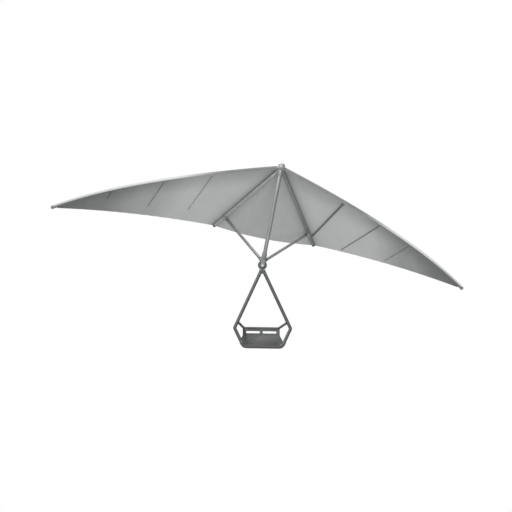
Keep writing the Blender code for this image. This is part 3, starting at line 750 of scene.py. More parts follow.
def sailcloth(name, dark, light):
    finish = Finish(name, light, 0.66)
    map_node = finish.node("ShaderNodeUVMap", uv_map=CLOTH_MAP)
    split = finish.node("ShaderNodeSeparateXYZ")
    finish.link(map_node.outputs["UV"], split.inputs["Vector"])
    across, down = split.outputs["X"], split.outputs["Y"]

    def wave(line, rate):
        return finish.math("SINE", finish.math("MULTIPLY", line, rate))

    def thin_line(line):
        steep = finish.math("ABSOLUTE", wave(line, math.pi / RIPSTOP_PITCH))
        return finish.math("POWER", steep, 24.0)

    thread_rate = 2 * math.pi / THREAD_PITCH
    weave = finish.math("MULTIPLY", wave(across, thread_rate), wave(down, thread_rate))
    ripstop = finish.math("MAXIMUM", thin_line(across), thin_line(down))
    half_pitch = SEAM_PITCH / 2
    seam_place = finish.math("PINGPONG", finish.math("ADD", across, half_pitch), half_pitch)
    seam = finish.math("LESS_THAN", seam_place, SEAM_WIDTH)
    stitch_line = finish.math("COMPARE", seam_place, SEAM_WIDTH * 0.75)
    stitch_line.node.inputs[2].default_value = STITCH_WIDTH
    dash = finish.math("GREATER_THAN", wave(down, STITCH_RATE), -0.3)
    stitches = finish.math("MULTIPLY", stitch_line, dash)

    # Painted shade: the attribute darkens the cloth where shade falls; a faint random cloud, the seams
    # and the stitches vary it further.
    painted_shade = finish.node("ShaderNodeAttribute", attribute_name=CLOTH_SHADE_ATTRIBUTE)
    cloud = finish.noise(finish.coordinates(), 2.2, 6.0, 0.6)
    level = finish.math("ADD", painted_shade.outputs["Fac"], finish.spread(cloud, -0.05, 0.05))
    level = finish.math("SUBTRACT", level, finish.math("MULTIPLY", seam, 0.035))
    level = finish.math("SUBTRACT", level, finish.math("MULTIPLY", stitches, 0.12))
    cloth = finish.tint(level, dark, light)
    # White tape round the sleeve, mixed in by an attribute that also carries the painted highlight of
    # its lit top.
    tape_and_highlight = finish.node("ShaderNodeAttribute", attribute_name=EDGE_TAPE_AND_HIGHLIGHT)
    with_tape_and_highlight = finish.node("ShaderNodeMix", data_type="RGBA")
    finish.link(tape_and_highlight.outputs["Fac"], with_tape_and_highlight.inputs["Factor"])
    finish.link(cloth, with_tape_and_highlight.inputs["A"])
    with_tape_and_highlight.inputs["B"].default_value = (*TAPE_AND_HIGHLIGHT_WHITE, 1.0)
    finish.link(with_tape_and_highlight.outputs["Result"], finish.shader.inputs["Base Color"])
    finish.roughen(cloud, 0.58, 0.74)
    finish.bump(weave, 0.00012, 0.35)
    finish.bump(ripstop, 0.00016, 0.4)
    finish.bump(seam, 0.0008, 0.6)
    finish.shader.inputs["Sheen Weight"].default_value = 0.12
    finish.shader.inputs["Sheen Roughness"].default_value = 0.5
    return finish.material


SAILCLOTH = sailcloth("woven_sailcloth", SHADED_CLOTH, LIGHT_CLOTH)
print("sailcloth threads per metre", round(1 / THREAD_PITCH))

# %% [markdown]
# ## The cloth of the side panels
# A sail panel hangs between the front tube and the keel tube. It could be one flat plane, but
# real cloth wraps the front tube in a sleeve, hollows along the back edge and swells a little
# between its ribs. So the panel is one closed sheet, laid section by section along the span:
# over the top from the back edge to the tube, round the sleeve, and back on the inside.

# %% Shape of one sail panel
CLOTH = 0.0024
SAIL_START = 0.076
SAIL_FIRST = 0.0165
SAIL_LAST = 0.992
TIP_CHORD = 0.055
OVERHANG = 0.050
SWELL = 0.05
SCALLOP = (0.05, 0.026)
SLEEVE_ROOM = 0.0013
CLOTH_HEIGHT = KEEL_RADIUS + 0.0028


def span_share(station):
    """The share of the leading edge at a station, which is 0 over the keel and 1 at the tip."""
    return SAIL_FIRST + (SAIL_LAST - SAIL_FIRST) * station


def trailing_edge(sign, station):
    keel_end = mirrored(KEEL_END, sign)
    inner = keel_end + OVERHANG * nose_way(keel_end) + CLOTH_HEIGHT * UP
    along, aft, up = edge_axes(sign, SAIL_LAST)
    outer = leading_edge(sign, SAIL_LAST) + TIP_CHORD * aft + (EDGE_RADIUS + 0.0018) * up
    arch = 4 * station * (1 - station)
    return inner.lerp(outer, station) + arch * Vector((0, -SCALLOP[0], SCALLOP[1]))


def cloth_relief(sign, station, chord):
    """Small waves of real cloth: pulled creases from the corners and a flutter at the back."""
    near_edge = math.sin(math.pi * min(max(chord, 0.0), 1.0)) * math.sin(math.pi * station)
    pull = noise.noise(Vector((station * 34.0, chord * 3.0, sign * 5.0)))
    drift = noise.noise(Vector((station * 9.0, chord * 2.0, sign * 9.0 + 3.0)))
    flutter = math.sin(station * 92.0 + 2.0 * drift) * chord ** 6 * math.sin(math.pi * station)
    return near_edge * (0.0030 * pull + 0.0060 * drift) + 0.0022 * flutter


def sail_point(sign, station, chord):
    """Middle of the cloth: station 0 over the keel tube, chord 0 at the front."""
    fraction = span_share(station)
    along, aft, up = edge_axes(sign, fraction)
    front = leading_edge(sign, fraction) + (EDGE_RADIUS + SLEEVE_ROOM + CLOTH / 2) * up
    if station == 0:
        front = NOSE + SAIL_START * nose_way(mirrored(KEEL_END, sign)) + CLOTH_HEIGHT * UP
    swell = SWELL * 4 * chord * (1 - chord) * math.sin(math.pi * station)
    point = front.lerp(trailing_edge(sign, station), chord)
    return point + (swell + cloth_relief(sign, station, chord)) * UP


print("cloth above the keel tube", CLOTH_HEIGHT)

# %% [markdown]
# ## Light and dark of the cloth
# The colour of the cloth holds painted shade: it is coloured darker where shade falls. A number per
# point holds that tone: 1 for open cloth, lower at the front edge, beside the keel tube and towards
# the tips, and a little different on the two sides. The shader mixes two greys by it.

# %% Painted shade of the cloth, and the tape with its painted highlight on the sleeve
# Shares of painted shade: darker at the front edge, in the sleeve and towards the tips, set
# differently per side as light falls on each side.
TONE_FLOOR = 0.105
FRONT_SHADE = 0.70
TIP_SHADES = {
    1.0: ((0.37, 0.62, 0.48), (0.66, 0.84, 0.24)),
    -1.0: ((0.26, 0.48, 0.37), (0.48, 0.74, 0.39)),
}
SLEEVE_PAINTED_SHADE = {1.0: 0.42, -1.0: 0.0}
# The tape starts and is strong differently on the two sides: painted light, brighter where the lamp
# catches the sleeve.
TAPE_PAINTED_LIGHT_START = {1.0: 0.34, -1.0: 0.18}
TAPE_PAINTED_LIGHT_STRENGTH = {1.0: 1.0, -1.0: 0.40}
TAPE_BACK = (-0.090, 0.004)


def smooth_step(value, low, high):
    share = min(max((value - low) / (high - low), 0.0), 1.0)
    return share * share * (3 - 2 * share)


def keel_painted_shade(metres):
    """Painted shade beside a keel tube: how much darker the cloth is coloured at some distance from
    it.
    """
    return 0.30 * math.exp(-(metres / 0.13) ** 2) + 0.30 * math.exp(-(metres / 0.055) ** 2)


def painted_cloth_shade(sign, station, metres_back, metres_from_keel):
    """Painted shade: 1 for open cloth, lower at the front edge and in the sleeve, beside a keel tube
    and towards the tips.
    """
    low = 0.52 - 0.30 * smooth_step(station, 0.30, 0.70)
    front = low + (1 - low) * smooth_step(metres_back, 0.02, FRONT_SHADE)
    if metres_back < 0:
        darkest = SLEEVE_PAINTED_SHADE[sign]
        front = low * (darkest + (1 - darkest) * smooth_step(-metres_back, 0.080, 0.110))
    tip = 1.0
    for start, end, amount in TIP_SHADES[sign]:
        tip -= amount * smooth_step(station, start, end)
    root = 0.95 + 0.05 * smooth_step(station, 0.15, 0.3)
    painted_shade = front * tip * (1.0 - keel_painted_shade(metres_from_keel)) * root
    return TONE_FLOOR * smooth_step(painted_shade, 0.0, 0.1) + (1 - TONE_FLOOR) * painted_shade


def tape_and_highlight_share(sign, station, metres_back):
    """How much of the white tape shows round the front of the sleeve; its start and strength differ
    per side as painted light on the sleeve's lit top.
    """
    if not TAPE_BACK[0] <= metres_back <= TAPE_BACK[1]:
        return 0.0
    start = TAPE_PAINTED_LIGHT_START[sign]
    return TAPE_PAINTED_LIGHT_STRENGTH[sign] * smooth_step(station, start, start + 0.26)


print("tone at mid span", round(painted_cloth_shade(1.0, 0.5, 0.5, 1.0), 2))

# %% [markdown]
# ## One section of a panel
# A section is a closed outline. Its outer half runs over the top of the cloth and round the
# sleeve, and its inner half comes back one thickness further in. Each point also keeps how far
# behind the front edge it lies, measured along the cloth, for the weave and the tone.

# %% One section, as points with their metres back
CHORD_STEPS = 36
SLEEVE_STEPS = 28
SLEEVE_END = math.radians(300.0)
SLEEVE_LEAD = 0.6
SLEEVE_CLEAR = 0.9


def section(sign, station):
    fraction = span_share(station)
    along, aft, up = edge_axes(sign, fraction)
    center = leading_edge(sign, fraction)
    length = (sail_point(sign, station, 0.0) - trailing_edge(sign, station)).length
    nearest = SLEEVE_CLEAR * EDGE_RADIUS / length if station > 0 else 0.0
    chords = [1 - (1 - nearest) * step / CHORD_STEPS for step in range(CHORD_STEPS + 1)]
    line = [sail_point(sign, station, chord) for chord in chords]
    height = EDGE_RADIUS + SLEEVE_ROOM + CLOTH / 2
    line.append(center + SLEEVE_LEAD * EDGE_RADIUS * aft + height * up)
    back = [0.0] * len(line)
    for index in range(len(line) - 2, -1, -1):
        back[index] = back[index + 1] + (line[index] - line[index + 1]).length
    outside = [(point + CLOTH / 2 * UP, metres) for point, metres in zip(line, back)]
    inside = [(point - CLOTH / 2 * UP, metres) for point, metres in zip(line, back)]
    for step in range(SLEEVE_STEPS + 1):
        angle = math.pi / 2 + (SLEEVE_END - math.pi / 2) * step / SLEEVE_STEPS
        ray = math.cos(angle) * aft + math.sin(angle) * up
        metres = -(angle - math.pi / 2) * EDGE_RADIUS
        outside.append((center + (EDGE_RADIUS + SLEEVE_ROOM + CLOTH) * ray, metres))
        inside.append((center + (EDGE_RADIUS + SLEEVE_ROOM) * ray, metres))
    return outside + inside[::-1]


print("points in a section", len(section(1.0, 0.5)))

# %% [markdown]
# ## From sections to a sheet
# All sections have the same number of points, so four points of two neighbours make a face, and
# both ends are filled in. A bent plane could be stretched over the frame, but here the map, the
# painted shade and the tape with its painted highlight have to sit on every point, so the mesh is laid
# out point by point.


# %% Closed sheets from rings of points
def cloth_piece(name, rings, painted_shades, tape_and_highlight_shares):
    """A closed sheet from rings of (point, across, back), with its map, painted shade, and tape with
    painted highlight.
    """
    count = len(rings[0])
    points = [spot[0] for ring in rings for spot in ring]
    flat = [(spot[1], spot[2]) for ring in rings for spot in ring]
    faces = []
    for first in range(len(rings) - 1):
        for index in range(count):
            after = (index + 1) % count
            here, there = first * count, (first + 1) * count
            faces.append((here + index, here + after, there + after, there + index))
    for end in (0, (len(rings) - 1) * count):
        for index in range(count // 2 - 1):
            other = count - 1 - index
            faces.append((end + index, end + index + 1, end + other - 1, end + other))
    mesh = bpy.data.meshes.new(name)
    mesh.from_pydata(points, [], faces)
    layer = mesh.uv_layers.new(name=CLOTH_MAP)
    for loop in mesh.loops:
        layer.data[loop.index].uv = flat[loop.vertex_index]
    for attribute, values in ((CLOTH_SHADE_ATTRIBUTE, painted_shades), (EDGE_TAPE_AND_HIGHLIGHT, tape_and_highlight_shares)):
        made = mesh.attributes.new(attribute, "FLOAT", "POINT")
        made.data.foreach_set("value", values)
    piece = bpy.data.objects.new(name, mesh)
    bpy.context.scene.collection.objects.link(piece)
    edit_all(piece)
    bpy.ops.mesh.normals_make_consistent(inside=False)
    leave_edit()
    return piece


print("sheet helper ready")

# %% Lay the sections into the two side panels
SPAN_STEPS = 120
CLOTH_SMOOTH = 60.0


def side_sail(side, sign):
    keel_line = nose_way(mirrored(KEEL_END, sign))
    rings, painted_shades, tape_and_highlight_shares = [], [], []
    for step in range(SPAN_STEPS + 1):
        station = step / SPAN_STEPS
        ring = [(point, station * EDGE_LENGTH, back) for point, back in section(sign, station)]
        for point, across, back in ring:
            from_nose = point - NOSE
            from_keel = abs(from_nose.x * keel_line.y - from_nose.y * keel_line.x)
            painted_shades.append(painted_cloth_shade(sign, station, back, from_keel))
            tape_and_highlight_shares.append(tape_and_highlight_share(sign, station, back))
        rings.append(ring)
    piece = cloth_piece("sailcloth_" + side, rings, painted_shades, tape_and_highlight_shares)
    wing_piece(piece, SAILCLOTH, ["sail_" + side], CLOTH_SMOOTH)
    return piece


side_sails = {side: side_sail(side, sign) for side, sign in SIDES}
print("side panels", {side: len(piece.data.vertices) for side, piece in side_sails.items()})

# %% [markdown]
# ## The centre panel
# The middle of the sail is a triangle between the two keel tubes. On a real sail its edges lap
# over the side panels and are sewn down, so here it reaches a little past each tube, on top.

# %% Centre panel, lapped over both side panels
LAP = 0.024
LAP_LIFT = 0.0034
CENTRE_BOW = 0.06
CENTRE_SAG = 0.03
CENTRE_SPAN_STEPS = 60
CENTRE_ACROSS_STEPS = 40

keel_run = KEEL_END - NOSE
keel_first = SAIL_START / keel_run.length
keel_last = 1 + OVERHANG / keel_run.length


def keel_share(along):
    return keel_first + (keel_last - keel_first) * along


def centre_point(along, across):
    """along runs from the nose to the back edge, across from -1 to 1 between the laps."""
    edge = NOSE + keel_run * keel_share(along)
    reach = across * (1 + LAP / edge.x)
    bow = (1 - min(abs(reach), 1.0) ** 2) * along
    rise_at_edge = LAP_LIFT * smooth_step(abs(reach), 0.90, 0.97)
    height = NOSE.z + CLOTH_HEIGHT - CENTRE_SAG * bow + rise_at_edge
    ripple = 0.004 * noise.noise(Vector((across * 2.2, along * 3.0, 11.0))) * bow
    return Vector((reach * edge.x, edge.y + CENTRE_BOW * bow, height + ripple))


def centre_sail():
    rings, painted_shades = [], []
    shares = [2 * step / CENTRE_ACROSS_STEPS - 1 for step in range(CENTRE_ACROSS_STEPS + 1)]
    for step in range(CENTRE_SPAN_STEPS + 1):
        along = step / CENTRE_SPAN_STEPS
        back = along * keel_run.y
        line = [centre_point(along, share) for share in shares]
        ring = [(point + CLOTH / 2 * UP, point.x, back) for point in line]
        ring += [(point - CLOTH / 2 * UP, point.x, back) for point in line[::-1]]
        rings.append(ring)
        # Painted shade: the centre panel is coloured darker towards the nose and beside each keel
        # tube, where shade falls.
        painted_shade = 0.62 + 0.16 * smooth_step(along, 0.1, 0.7)
        tube_x = keel_run.x * keel_share(along)
        for point, across, depth in ring:
            off_tube = (tube_x - abs(across)) * keel_run.y / keel_run.length
            painted_shades.append(TONE_FLOOR + (1 - TONE_FLOOR) * painted_shade * (1.0 - keel_painted_shade(off_tube)))
    piece = cloth_piece("sailcloth_centre", rings, painted_shades, [0.0] * len(painted_shades))
    wing_piece(piece, SAILCLOTH, ["sail_centre"], CLOTH_SMOOTH)
    return piece


middle_sail = centre_sail()
print("centre panel", len(middle_sail.data.vertices), "points")

# %% [markdown]
# ## Stretched sheets
# Each panel would be cut from a flat sheet the length of the front edge by that of the keel line,
# with some cloth for the sleeve. It is stretched, so its area is that of its shape, with nothing to
# spare.


# %% [markdown]
# ## Leading edge tubes
# Each front tube is one long aluminium tube, bowed by the pull of the sail. The frame bends it
# in straight runs, and here it gets its smooth curve: a path with a round section, made a mesh.

# %% Smooth leading edge tubes
EDGE_STEPS = 72
EDGE_COLOR = (0.36, 0.37, 0.37)
first_share = TUBE_START / EDGE_LENGTH
for side, sign in SIDES:
    shares = [first_share + (1 - first_share) * step / EDGE_STEPS for step in range(EDGE_STEPS + 1)]
    points = [leading_edge(sign, share) for share in shares]
    tube = bent_tube("leading_edge_tube_" + side, points, EDGE_RADIUS)
    finish = anodised("edge_anodised_" + side, mirrored(TIP, sign) - NOSE, EDGE_COLOR)
    wing_piece(tube, finish, ["leading_edge_" + side])
print("leading edge tubes of", EDGE_STEPS, "steps")

# %% [markdown]
# ## Straight tubes
# The keel tubes, the centre tube and the struts are plain drawn tubes with their end rims
# rounded by hand. A cylinder with many sides and a small bevel gives just that. The drawn lines
# of the finish run along each tube, so every direction gets a material of its own.

# %% Centre tube
COLLAR_BORE = 0.060
CENTRE_GREY = 0.25


def wing_tube(name, start, end, radius, stands_for, grey):
    tube = rod(name, start, end, radius, 64, 0.002)
    finish = anodised(name + "_anodised", end - start, soft_grey(grey))
    wing_piece(tube, finish, [stands_for])


tube_down = (FOOT - NOSE).normalized()
centre_end = FOOT - COLLAR_BORE * tube_down
centre_start = NOSE + TUBE_START * tube_down
wing_tube("centre_drawn_tube", centre_start, centre_end, CENTRE_RADIUS, "centre_tube", CENTRE_GREY)
print("centre tube", round((centre_end - centre_start).length, 3), "m")

# %% [markdown]
# ## Keel tubes and struts
# Two keel tubes spread the root of the sail, and two struts brace the foot of the centre tube
# against them. Each strut sits in a socket at the hub and in a clamp under its keel tube, and a
# rubber ring at each end keeps dirt out of the joint. The rings are short turned shapes.

# %% Keel tubes, and struts with their rubber rings
# The two keel tubes are the same anodised tube; their two greys are painted light and shade, one
# lighter and one darker as light falls on them.
KEEL_PAINTED_LIGHT_GREY = {"left": 0.25, "right": 0.43}
CLAMP_REACH = 0.095
SOCKET_REACH = 0.085
# The struts are the same tube; their two greys are painted light and shade, one lighter and one darker
# as light falls on them.
STRUT_PAINTED_LIGHT_GREY = {"left": 0.34, "right": 0.17}
RING_INSET = 0.002
RING_LENGTH = 0.022
RING_RADII = (0.0240, 0.0282)
for side, sign in SIDES:
    end = mirrored(KEEL_END, sign)
    start = NOSE + TUBE_START * nose_way(end)
    wing_tube("keel_drawn_tube_" + side, start, end, KEEL_RADIUS, "keel_" + side, KEEL_PAINTED_LIGHT_GREY[side])
    way = strut_line(sign)
    start = STRUT_ROOT + (SOCKET_REACH + FIT) * way
    end = strut_seat(sign) - (CLAMP_REACH + FIT) * way
    wing_tube("strut_drawn_tube_" + side, start, end, STRUT_RADIUS, "strut_" + side, STRUT_PAINTED_LIGHT_GREY[side])
    for number, spot, inward in (("1", start, way), ("2", end, -way)):
        name = "strut_end_ring_" + side + number
        ring = sleeve(name, spot + RING_INSET * inward, inward, RING_LENGTH, *RING_RADII)
        wing_piece(ring, RUBBER)
print("struts", round((end - start).length, 3), "m")

# %% [markdown]
# ## Bolts
# Bolts hold every joint of such a frame, so that it comes apart for the car. One hexagon bolt
# with its washer is modelled at the origin, pointing up, and copied to each place.

# %% One bolt with its washer, and a screw with a round head
ORIGIN = Vector((0, 0, 0))


def make_bolt(name, radius, head):
    deselect_all()
    bpy.ops.mesh.primitive_cylinder_add(
        vertices=6, radius=radius, depth=head, location=(0, 0, 0.0015 + head / 2)
    )
    hexagon = bpy.context.object
    edit_only(hexagon, "FACE", lambda face: face.normal.z > 0.9)
    bpy.ops.mesh.inset(thickness=radius * 0.16)
    bpy.ops.transform.translate(value=(0, 0, head * 0.12))
    leave_edit()
    washer = turned(name + "_washer", [
        (0.0, radius * 1.42), (0.0011, radius * 1.42), (0.0015, radius * 1.34), (0.0015, radius * 0.9),
    ], ORIGIN, UP, 32)
    bolt = join([hexagon, washer], name)
    add_bevel(bolt, radius * 0.05, 2, 30.0)
    return bolt


def make_screw(name, radius):
    """A button head with a round recess for the key."""
    return turned(name, [
        (radius * 0.25, radius * 0.34), (radius * 0.62, radius * 0.36), (radius * 0.62, radius * 0.50),
        (radius * 0.52, radius * 0.74), (radius * 0.32, radius * 0.92), (0.0, radius),
    ], ORIGIN, UP, 28)


BOLT = make_bolt("bolt_master", 0.0078, 0.0052)
SMALL_BOLT = make_bolt("small_bolt_master", 0.0058, 0.0040)
SCREW = make_screw("screw_master", 0.0068)
print("bolt points", len(BOLT.data.vertices))


# %% Copies of a bolt at many places
def bolt_set(name, master, spots, axes, body):
    """Copies of one master at (place, direction) pairs, joined to one piece."""
    copies = []
    for number, (spot, direction) in enumerate(spots):
        matrix = axes @ Matrix.Translation(spot) @ turned_to(direction)
        copies.append(copy_of(master, name + str(number), matrix))
    piece = join(copies, name)
    shade(piece, 32.0)
    dress(piece, BOLT_STEEL, body)


print("bolts are copied from", BOLT.name, SMALL_BOLT.name, SCREW.name)

# %% [markdown]
# ## Nose
# Five tubes meet in a cast nose. Each tube is pushed over a spigot, and a short ferrule covers
# the joint. The body is turned, with a groove below its rim, and the spigots are round bars.

# %% Body of the nose with its five spigots
SPIGOT_RADIUS = 0.0204
HARD_EDGES = 32.0
spigot_ends = [FOOT]
for side, sign in SIDES:
    spigot_ends += [mirrored(KEEL_END, sign), leading_edge(sign, first_share)]
nose_parts = [turned("nose_body", [
    (-0.050, 0.0380), (-0.0485, 0.0412), (-0.046, 0.0455), (-0.040, 0.0550), (-0.034, 0.0566),
    (0.020, 0.0590), (0.026, 0.0590), (0.0275, 0.0578), (0.0300, 0.0578), (0.0315, 0.0588),
    (0.037, 0.0570), (0.038, 0.0555),
], NOSE, UP, 80)]
for end in spigot_ends:
    spigot_end = NOSE + (TUBE_START - FIT) * nose_way(end)
    nose_parts.append(rod("spigot", NOSE, spigot_end, SPIGOT_RADIUS, 40, 0.001))
nose_casting = join(nose_parts, "nose_casting")
wing_piece(nose_casting, BRIGHT, ["nose_fitting"], HARD_EDGES)
print("nose with", len(spigot_ends), "spigots")

# %% [markdown]
# ## Ferrules
# Where a tube ends on its spigot, a ferrule stiffens the joint and spreads the load of the bolt.
# Each is one short sleeve. Its drawn lines run along its own tube, so each has its own finish.
# The bolts show below the keel tubes and on both sides of the centre tube.

# %% Ferrules of the nose
FERRULE_START = 0.046
FERRULE_LENGTH = 0.104
FERRULE_BORE = 0.0205
BOLT_SINK = 0.0002
BOLT_REACH = 0.128
ferrules = [("centre", FOOT, 0.0372, 0.28)]
for side, sign in SIDES:
    # The keel ferrules take the painted light and shade greys of their keel tubes.
    ferrules.append(("keel_" + side, mirrored(KEEL_END, sign), 0.0309, KEEL_PAINTED_LIGHT_GREY[side]))
    ferrules.append(("edge_" + side, leading_edge(sign, first_share), 0.0322, 0.22))
nose_bolts = []
for label, end, outer, grey in ferrules:
    way = nose_way(end)
    name = "nose_ferrule_" + label
    start = NOSE + FERRULE_START * way
    ferrule = sleeve(name, start, way, FERRULE_LENGTH, FERRULE_BORE, outer)
    wing_piece(ferrule, anodised("ferrule_anodised_" + label, way, soft_grey(grey)))
    if "keel" in label:
        down = (-UP - way * -UP.dot(way)).normalized()
        nose_bolts.append((NOSE + BOLT_REACH * way + (outer - BOLT_SINK) * down, down))
for turn_sign in (1, -1):
    out = Vector((turn_sign, 0, 0))
    nose_bolts.append((NOSE + BOLT_REACH * nose_way(FOOT) + 0.0370 * out, out))
bolt_set("nose_bolts", SMALL_BOLT, nose_bolts, WING_AXES, "wing")
print("nose ferrules", len(ferrules), "bolts", len(nose_bolts))

# %% [markdown]
# ## The dome on the nose
# A pale moulded dome keeps the cloth from rubbing on the casting. It is turned, with a small
# bead round its foot, and one button screw holds it down.

# %% Dome and its screw
DOME_RADIUS = 0.062
NOSE_TOP = 0.038
dome_profile = [(0.0, 0.0565), (0.002, 0.0600), (0.004, 0.0600)]
dome_profile += [(0.0046, 0.0588), (0.0058, 0.0588), (0.0064, 0.0606)]
dome_profile += dome_rows(0.012, 0.0355, DOME_RADIUS, 8.2, 11)
dome = turned("nose_dome", dome_profile, NOSE + (NOSE_TOP + FIT) * UP, UP, 72)
wing_piece(dome, PALE_PLASTIC, ["nose_cap"])
bolt_set("nose_screw", SCREW, [(NOSE + (NOSE_TOP + 0.0473) * UP, UP)], WING_AXES, "wing")
print("dome rows", len(dome_profile))

# %% [markdown]
# ## Tips and tube ends
# A moulded cap closes each tip and holds the end of the sail. The keel tubes end in dark plugs.
# Both are turned shapes: a disc, extruded and scaled along its profile, with a groove as grip.

# %% Profiles of the caps and plugs
CAP_RADIUS = 0.0352
cap_profile = [(0.0, 0.0304), (0.0012, 0.0340), (0.004, CAP_RADIUS), (0.011, CAP_RADIUS)]
cap_profile += [(0.012, 0.0338), (0.0145, 0.0338), (0.0155, CAP_RADIUS)]
cap_profile += dome_rows(0.030, 0.0243, CAP_RADIUS, 10.0, 9)
plug_profile = [(0.0, 0.0285), (0.001, 0.0302), (0.003, 0.0309), (0.008, 0.0309), (0.009, 0.0297)]
plug_profile += [(0.0115, 0.0297), (0.0125, 0.0309), (0.026, 0.0309), (0.031, 0.0288)]
plug_profile += [(0.0345, 0.0252), (0.036, 0.0225), (0.036, 0.0080), (0.031, 0.0072)]
print("cap rows", len(cap_profile), "plug rows", len(plug_profile))

# %% Tip caps and keel plugs
# The tip caps are the same pale plastic; their two greys are painted light and shade, one tip lighter
# and one darker as light falls on it.
CAP_PAINTED_LIGHT_GREY = {"left": 0.40, "right": 0.19}
for side, sign in SIDES:
    along = edge_axes(sign, 1.0)[0]
    cap = turned("tip_dome_" + side, cap_profile, leading_edge(sign, 1.0) + FIT * along, along, 64)
    grey = CAP_PAINTED_LIGHT_GREY[side]
    finish = moulded("cap_plastic_painted_light_" + side, (grey, 1.01 * grey, 1.01 * grey))
    wing_piece(cap, finish, ["tip_cap_" + side])
    end = mirrored(KEEL_END, sign)
    way = nose_way(end)
    plug = turned("keel_end_plug_" + side, plug_profile, end + FIT * way, way, 64)
    wing_piece(plug, DARK_PLASTIC, ["keel_plug_" + side])
print("tip caps of grey", CAP_PAINTED_LIGHT_GREY)

# %% [markdown]
# ## Ribs
# Thin rods under the side panels hold the sail's camber. Each starts in a moulded knob behind
# the front tube, runs back close under the cloth and gets thinner towards its end. They look
# straight from the ground, so each point is moved along the span until it lies on that line.

# %% The line of one rib
RIB_STEPS = 30
RIB_TAPER = 0.35
THICK_RIB = 0.015
THICK_TAPER = 0.08
RIB_FIRST_CHORD = 0.04
RIB_AIMS = 6
RIB_ROOM = 0.0075
SMALL_STEP = 0.001
watcher = WING_AXES.inverted() @ Vector((-1.30, -18.58, -6.05))


def flat_point(sign, station, chord):
    """The sail without its small waves, which a rib bridges."""
    return sail_point(sign, station, chord) - cloth_relief(sign, station, chord) * UP


def rib_line(sign, knob, station, end, reach, radius):
    """Points and radii from behind the knob to the end, straight as seen by the watcher."""
    taper = RIB_TAPER if radius < THICK_RIB else THICK_TAPER
    last = flat_point(sign, end, reach)
    sight = (knob - watcher).cross(last - watcher).normalized()
    points, radii = [], []
    for step in range(2, RIB_STEPS + 1):
        part = step / RIB_STEPS
        thin = radius * (1 - taper * part)
        drop = (RIB_ROOM + thin) * UP
        chord = RIB_FIRST_CHORD + (reach - RIB_FIRST_CHORD) * part
        across = station + (end - station) * part
        for aim_step in range(RIB_AIMS):
            here = flat_point(sign, across, chord) - drop
            slope = (flat_point(sign, across + SMALL_STEP, chord) - drop - here) / SMALL_STEP
            across -= sight.dot(here - watcher) / sight.dot(slope)
        points.append(flat_point(sign, across, chord) - drop)
        radii.append(thin)
    return points, radii


print("ribs have", RIB_STEPS, "steps")

# %% [markdown]
# ## Knobs and loops of the ribs
# A knob holds each rib at the front, and two loops of cloth tie its rod to the panel. The three
# never move apart, so they are joined to one piece. The ribs differ in place, length and
# thickness, so a table holds one row for each of them.

# %% Ribs with their knobs and cloth loops
# side, number, station of the knob, station of the end, reach over the chord, radius, and grey, which
# is painted light and shade: one rib material made lighter or darker per rib
RIBS = (
    ("left", "1", 0.289, 0.018, 0.86, 0.017, 0.165),
    ("left", "2", 0.483, 0.188, 0.97, 0.010, 0.205),
    ("left", "3", 0.658, 0.482, 0.95, 0.007, 0.255),
    ("right", "1", 0.260, 0.216, 0.80, 0.007, 0.340),
    ("right", "2", 0.467, 0.451, 0.79, 0.008, 0.280),
    ("right", "3", 0.708, 0.710, 0.56, 0.0055, 0.190),
)
RIB_KNOB = 1.55
KNOB_GAP = 0.0001
KNOB_DROP = 0.0007
LOOP_PLACES = (0.33, 0.66)
LOOP_LENGTH = 0.035
LOOP_THICK = 0.0016


def knob_profile(knob, radius):
    """A ball that runs out into a short neck round the rod."""
    angles = [math.radians(-90 + 15.0 * step) for step in range(1, 12)]
    rows = [(knob * math.sin(angle), knob * math.cos(angle)) for angle in angles]
    return rows + [(knob * 1.25, radius * 1.12), (knob * 1.9, radius * 1.08)]


for side, number, station, end, reach, radius, grey in RIBS:
    sign = dict(SIDES)[side]
    fraction = span_share(station)
    along, aft, up = edge_axes(sign, fraction)
    knob = radius * RIB_KNOB
    height = EDGE_RADIUS - knob - KNOB_DROP
    distance_aft = math.sqrt((EDGE_RADIUS + KNOB_GAP + knob) ** 2 - height ** 2)
    center = leading_edge(sign, fraction) + distance_aft * aft + height * up
    points, radii = rib_line(sign, center, station, end, reach, radius)
    pieces = [bent_tube("rib_rod", [center] + points, 1.0, 8, [radius] + radii)]
    way = (points[0] - center).normalized()
    pieces.append(turned("rib_knob", knob_profile(knob, radius), center, way, 36))
    for share in LOOP_PLACES:
        spot = int(share * len(points))
        run = (points[spot + 1] - points[spot]).normalized()
        thin = radii[spot]
        pieces.append(sleeve("rib_loop", points[spot], run, LOOP_LENGTH, thin, thin + LOOP_THICK))
    name = "rib_" + side + "_" + number
    finish = moulded(name + "_painted_light_grey", soft_grey(grey), 700.0, 0.0001)
    wing_piece(join(pieces, name), finish, ["batten_" + side + "_" + number])
print("ribs", len(RIBS))

# %% [markdown]
# ## Hems and eyelets
# The back edge of the cloth is folded over a thin line and sewn down, which keeps it from
# fluttering. Where the edge is tied down, at the keel tubes and the tips, a steel eyelet guards
# the cloth.

# %% Rolled back hems
HEM_RADIUS = 0.0036
HEM_STEPS = 110
CENTRE_HEM_STEPS = 50
hem_lines = {}
for side, sign in SIDES:
    hem_lines[side] = [sail_point(sign, step / HEM_STEPS, 1.0) for step in range(HEM_STEPS + 1)]
shares = [2 * step / CENTRE_HEM_STEPS - 1 for step in range(CENTRE_HEM_STEPS + 1)]
hem_lines["centre"] = [centre_point(1.0, share) for share in shares]
for label, line in hem_lines.items():
    wing_piece(bent_tube("back_hem_" + label, line, HEM_RADIUS, 6), HEM_CLOTH)
print("hems", list(hem_lines))

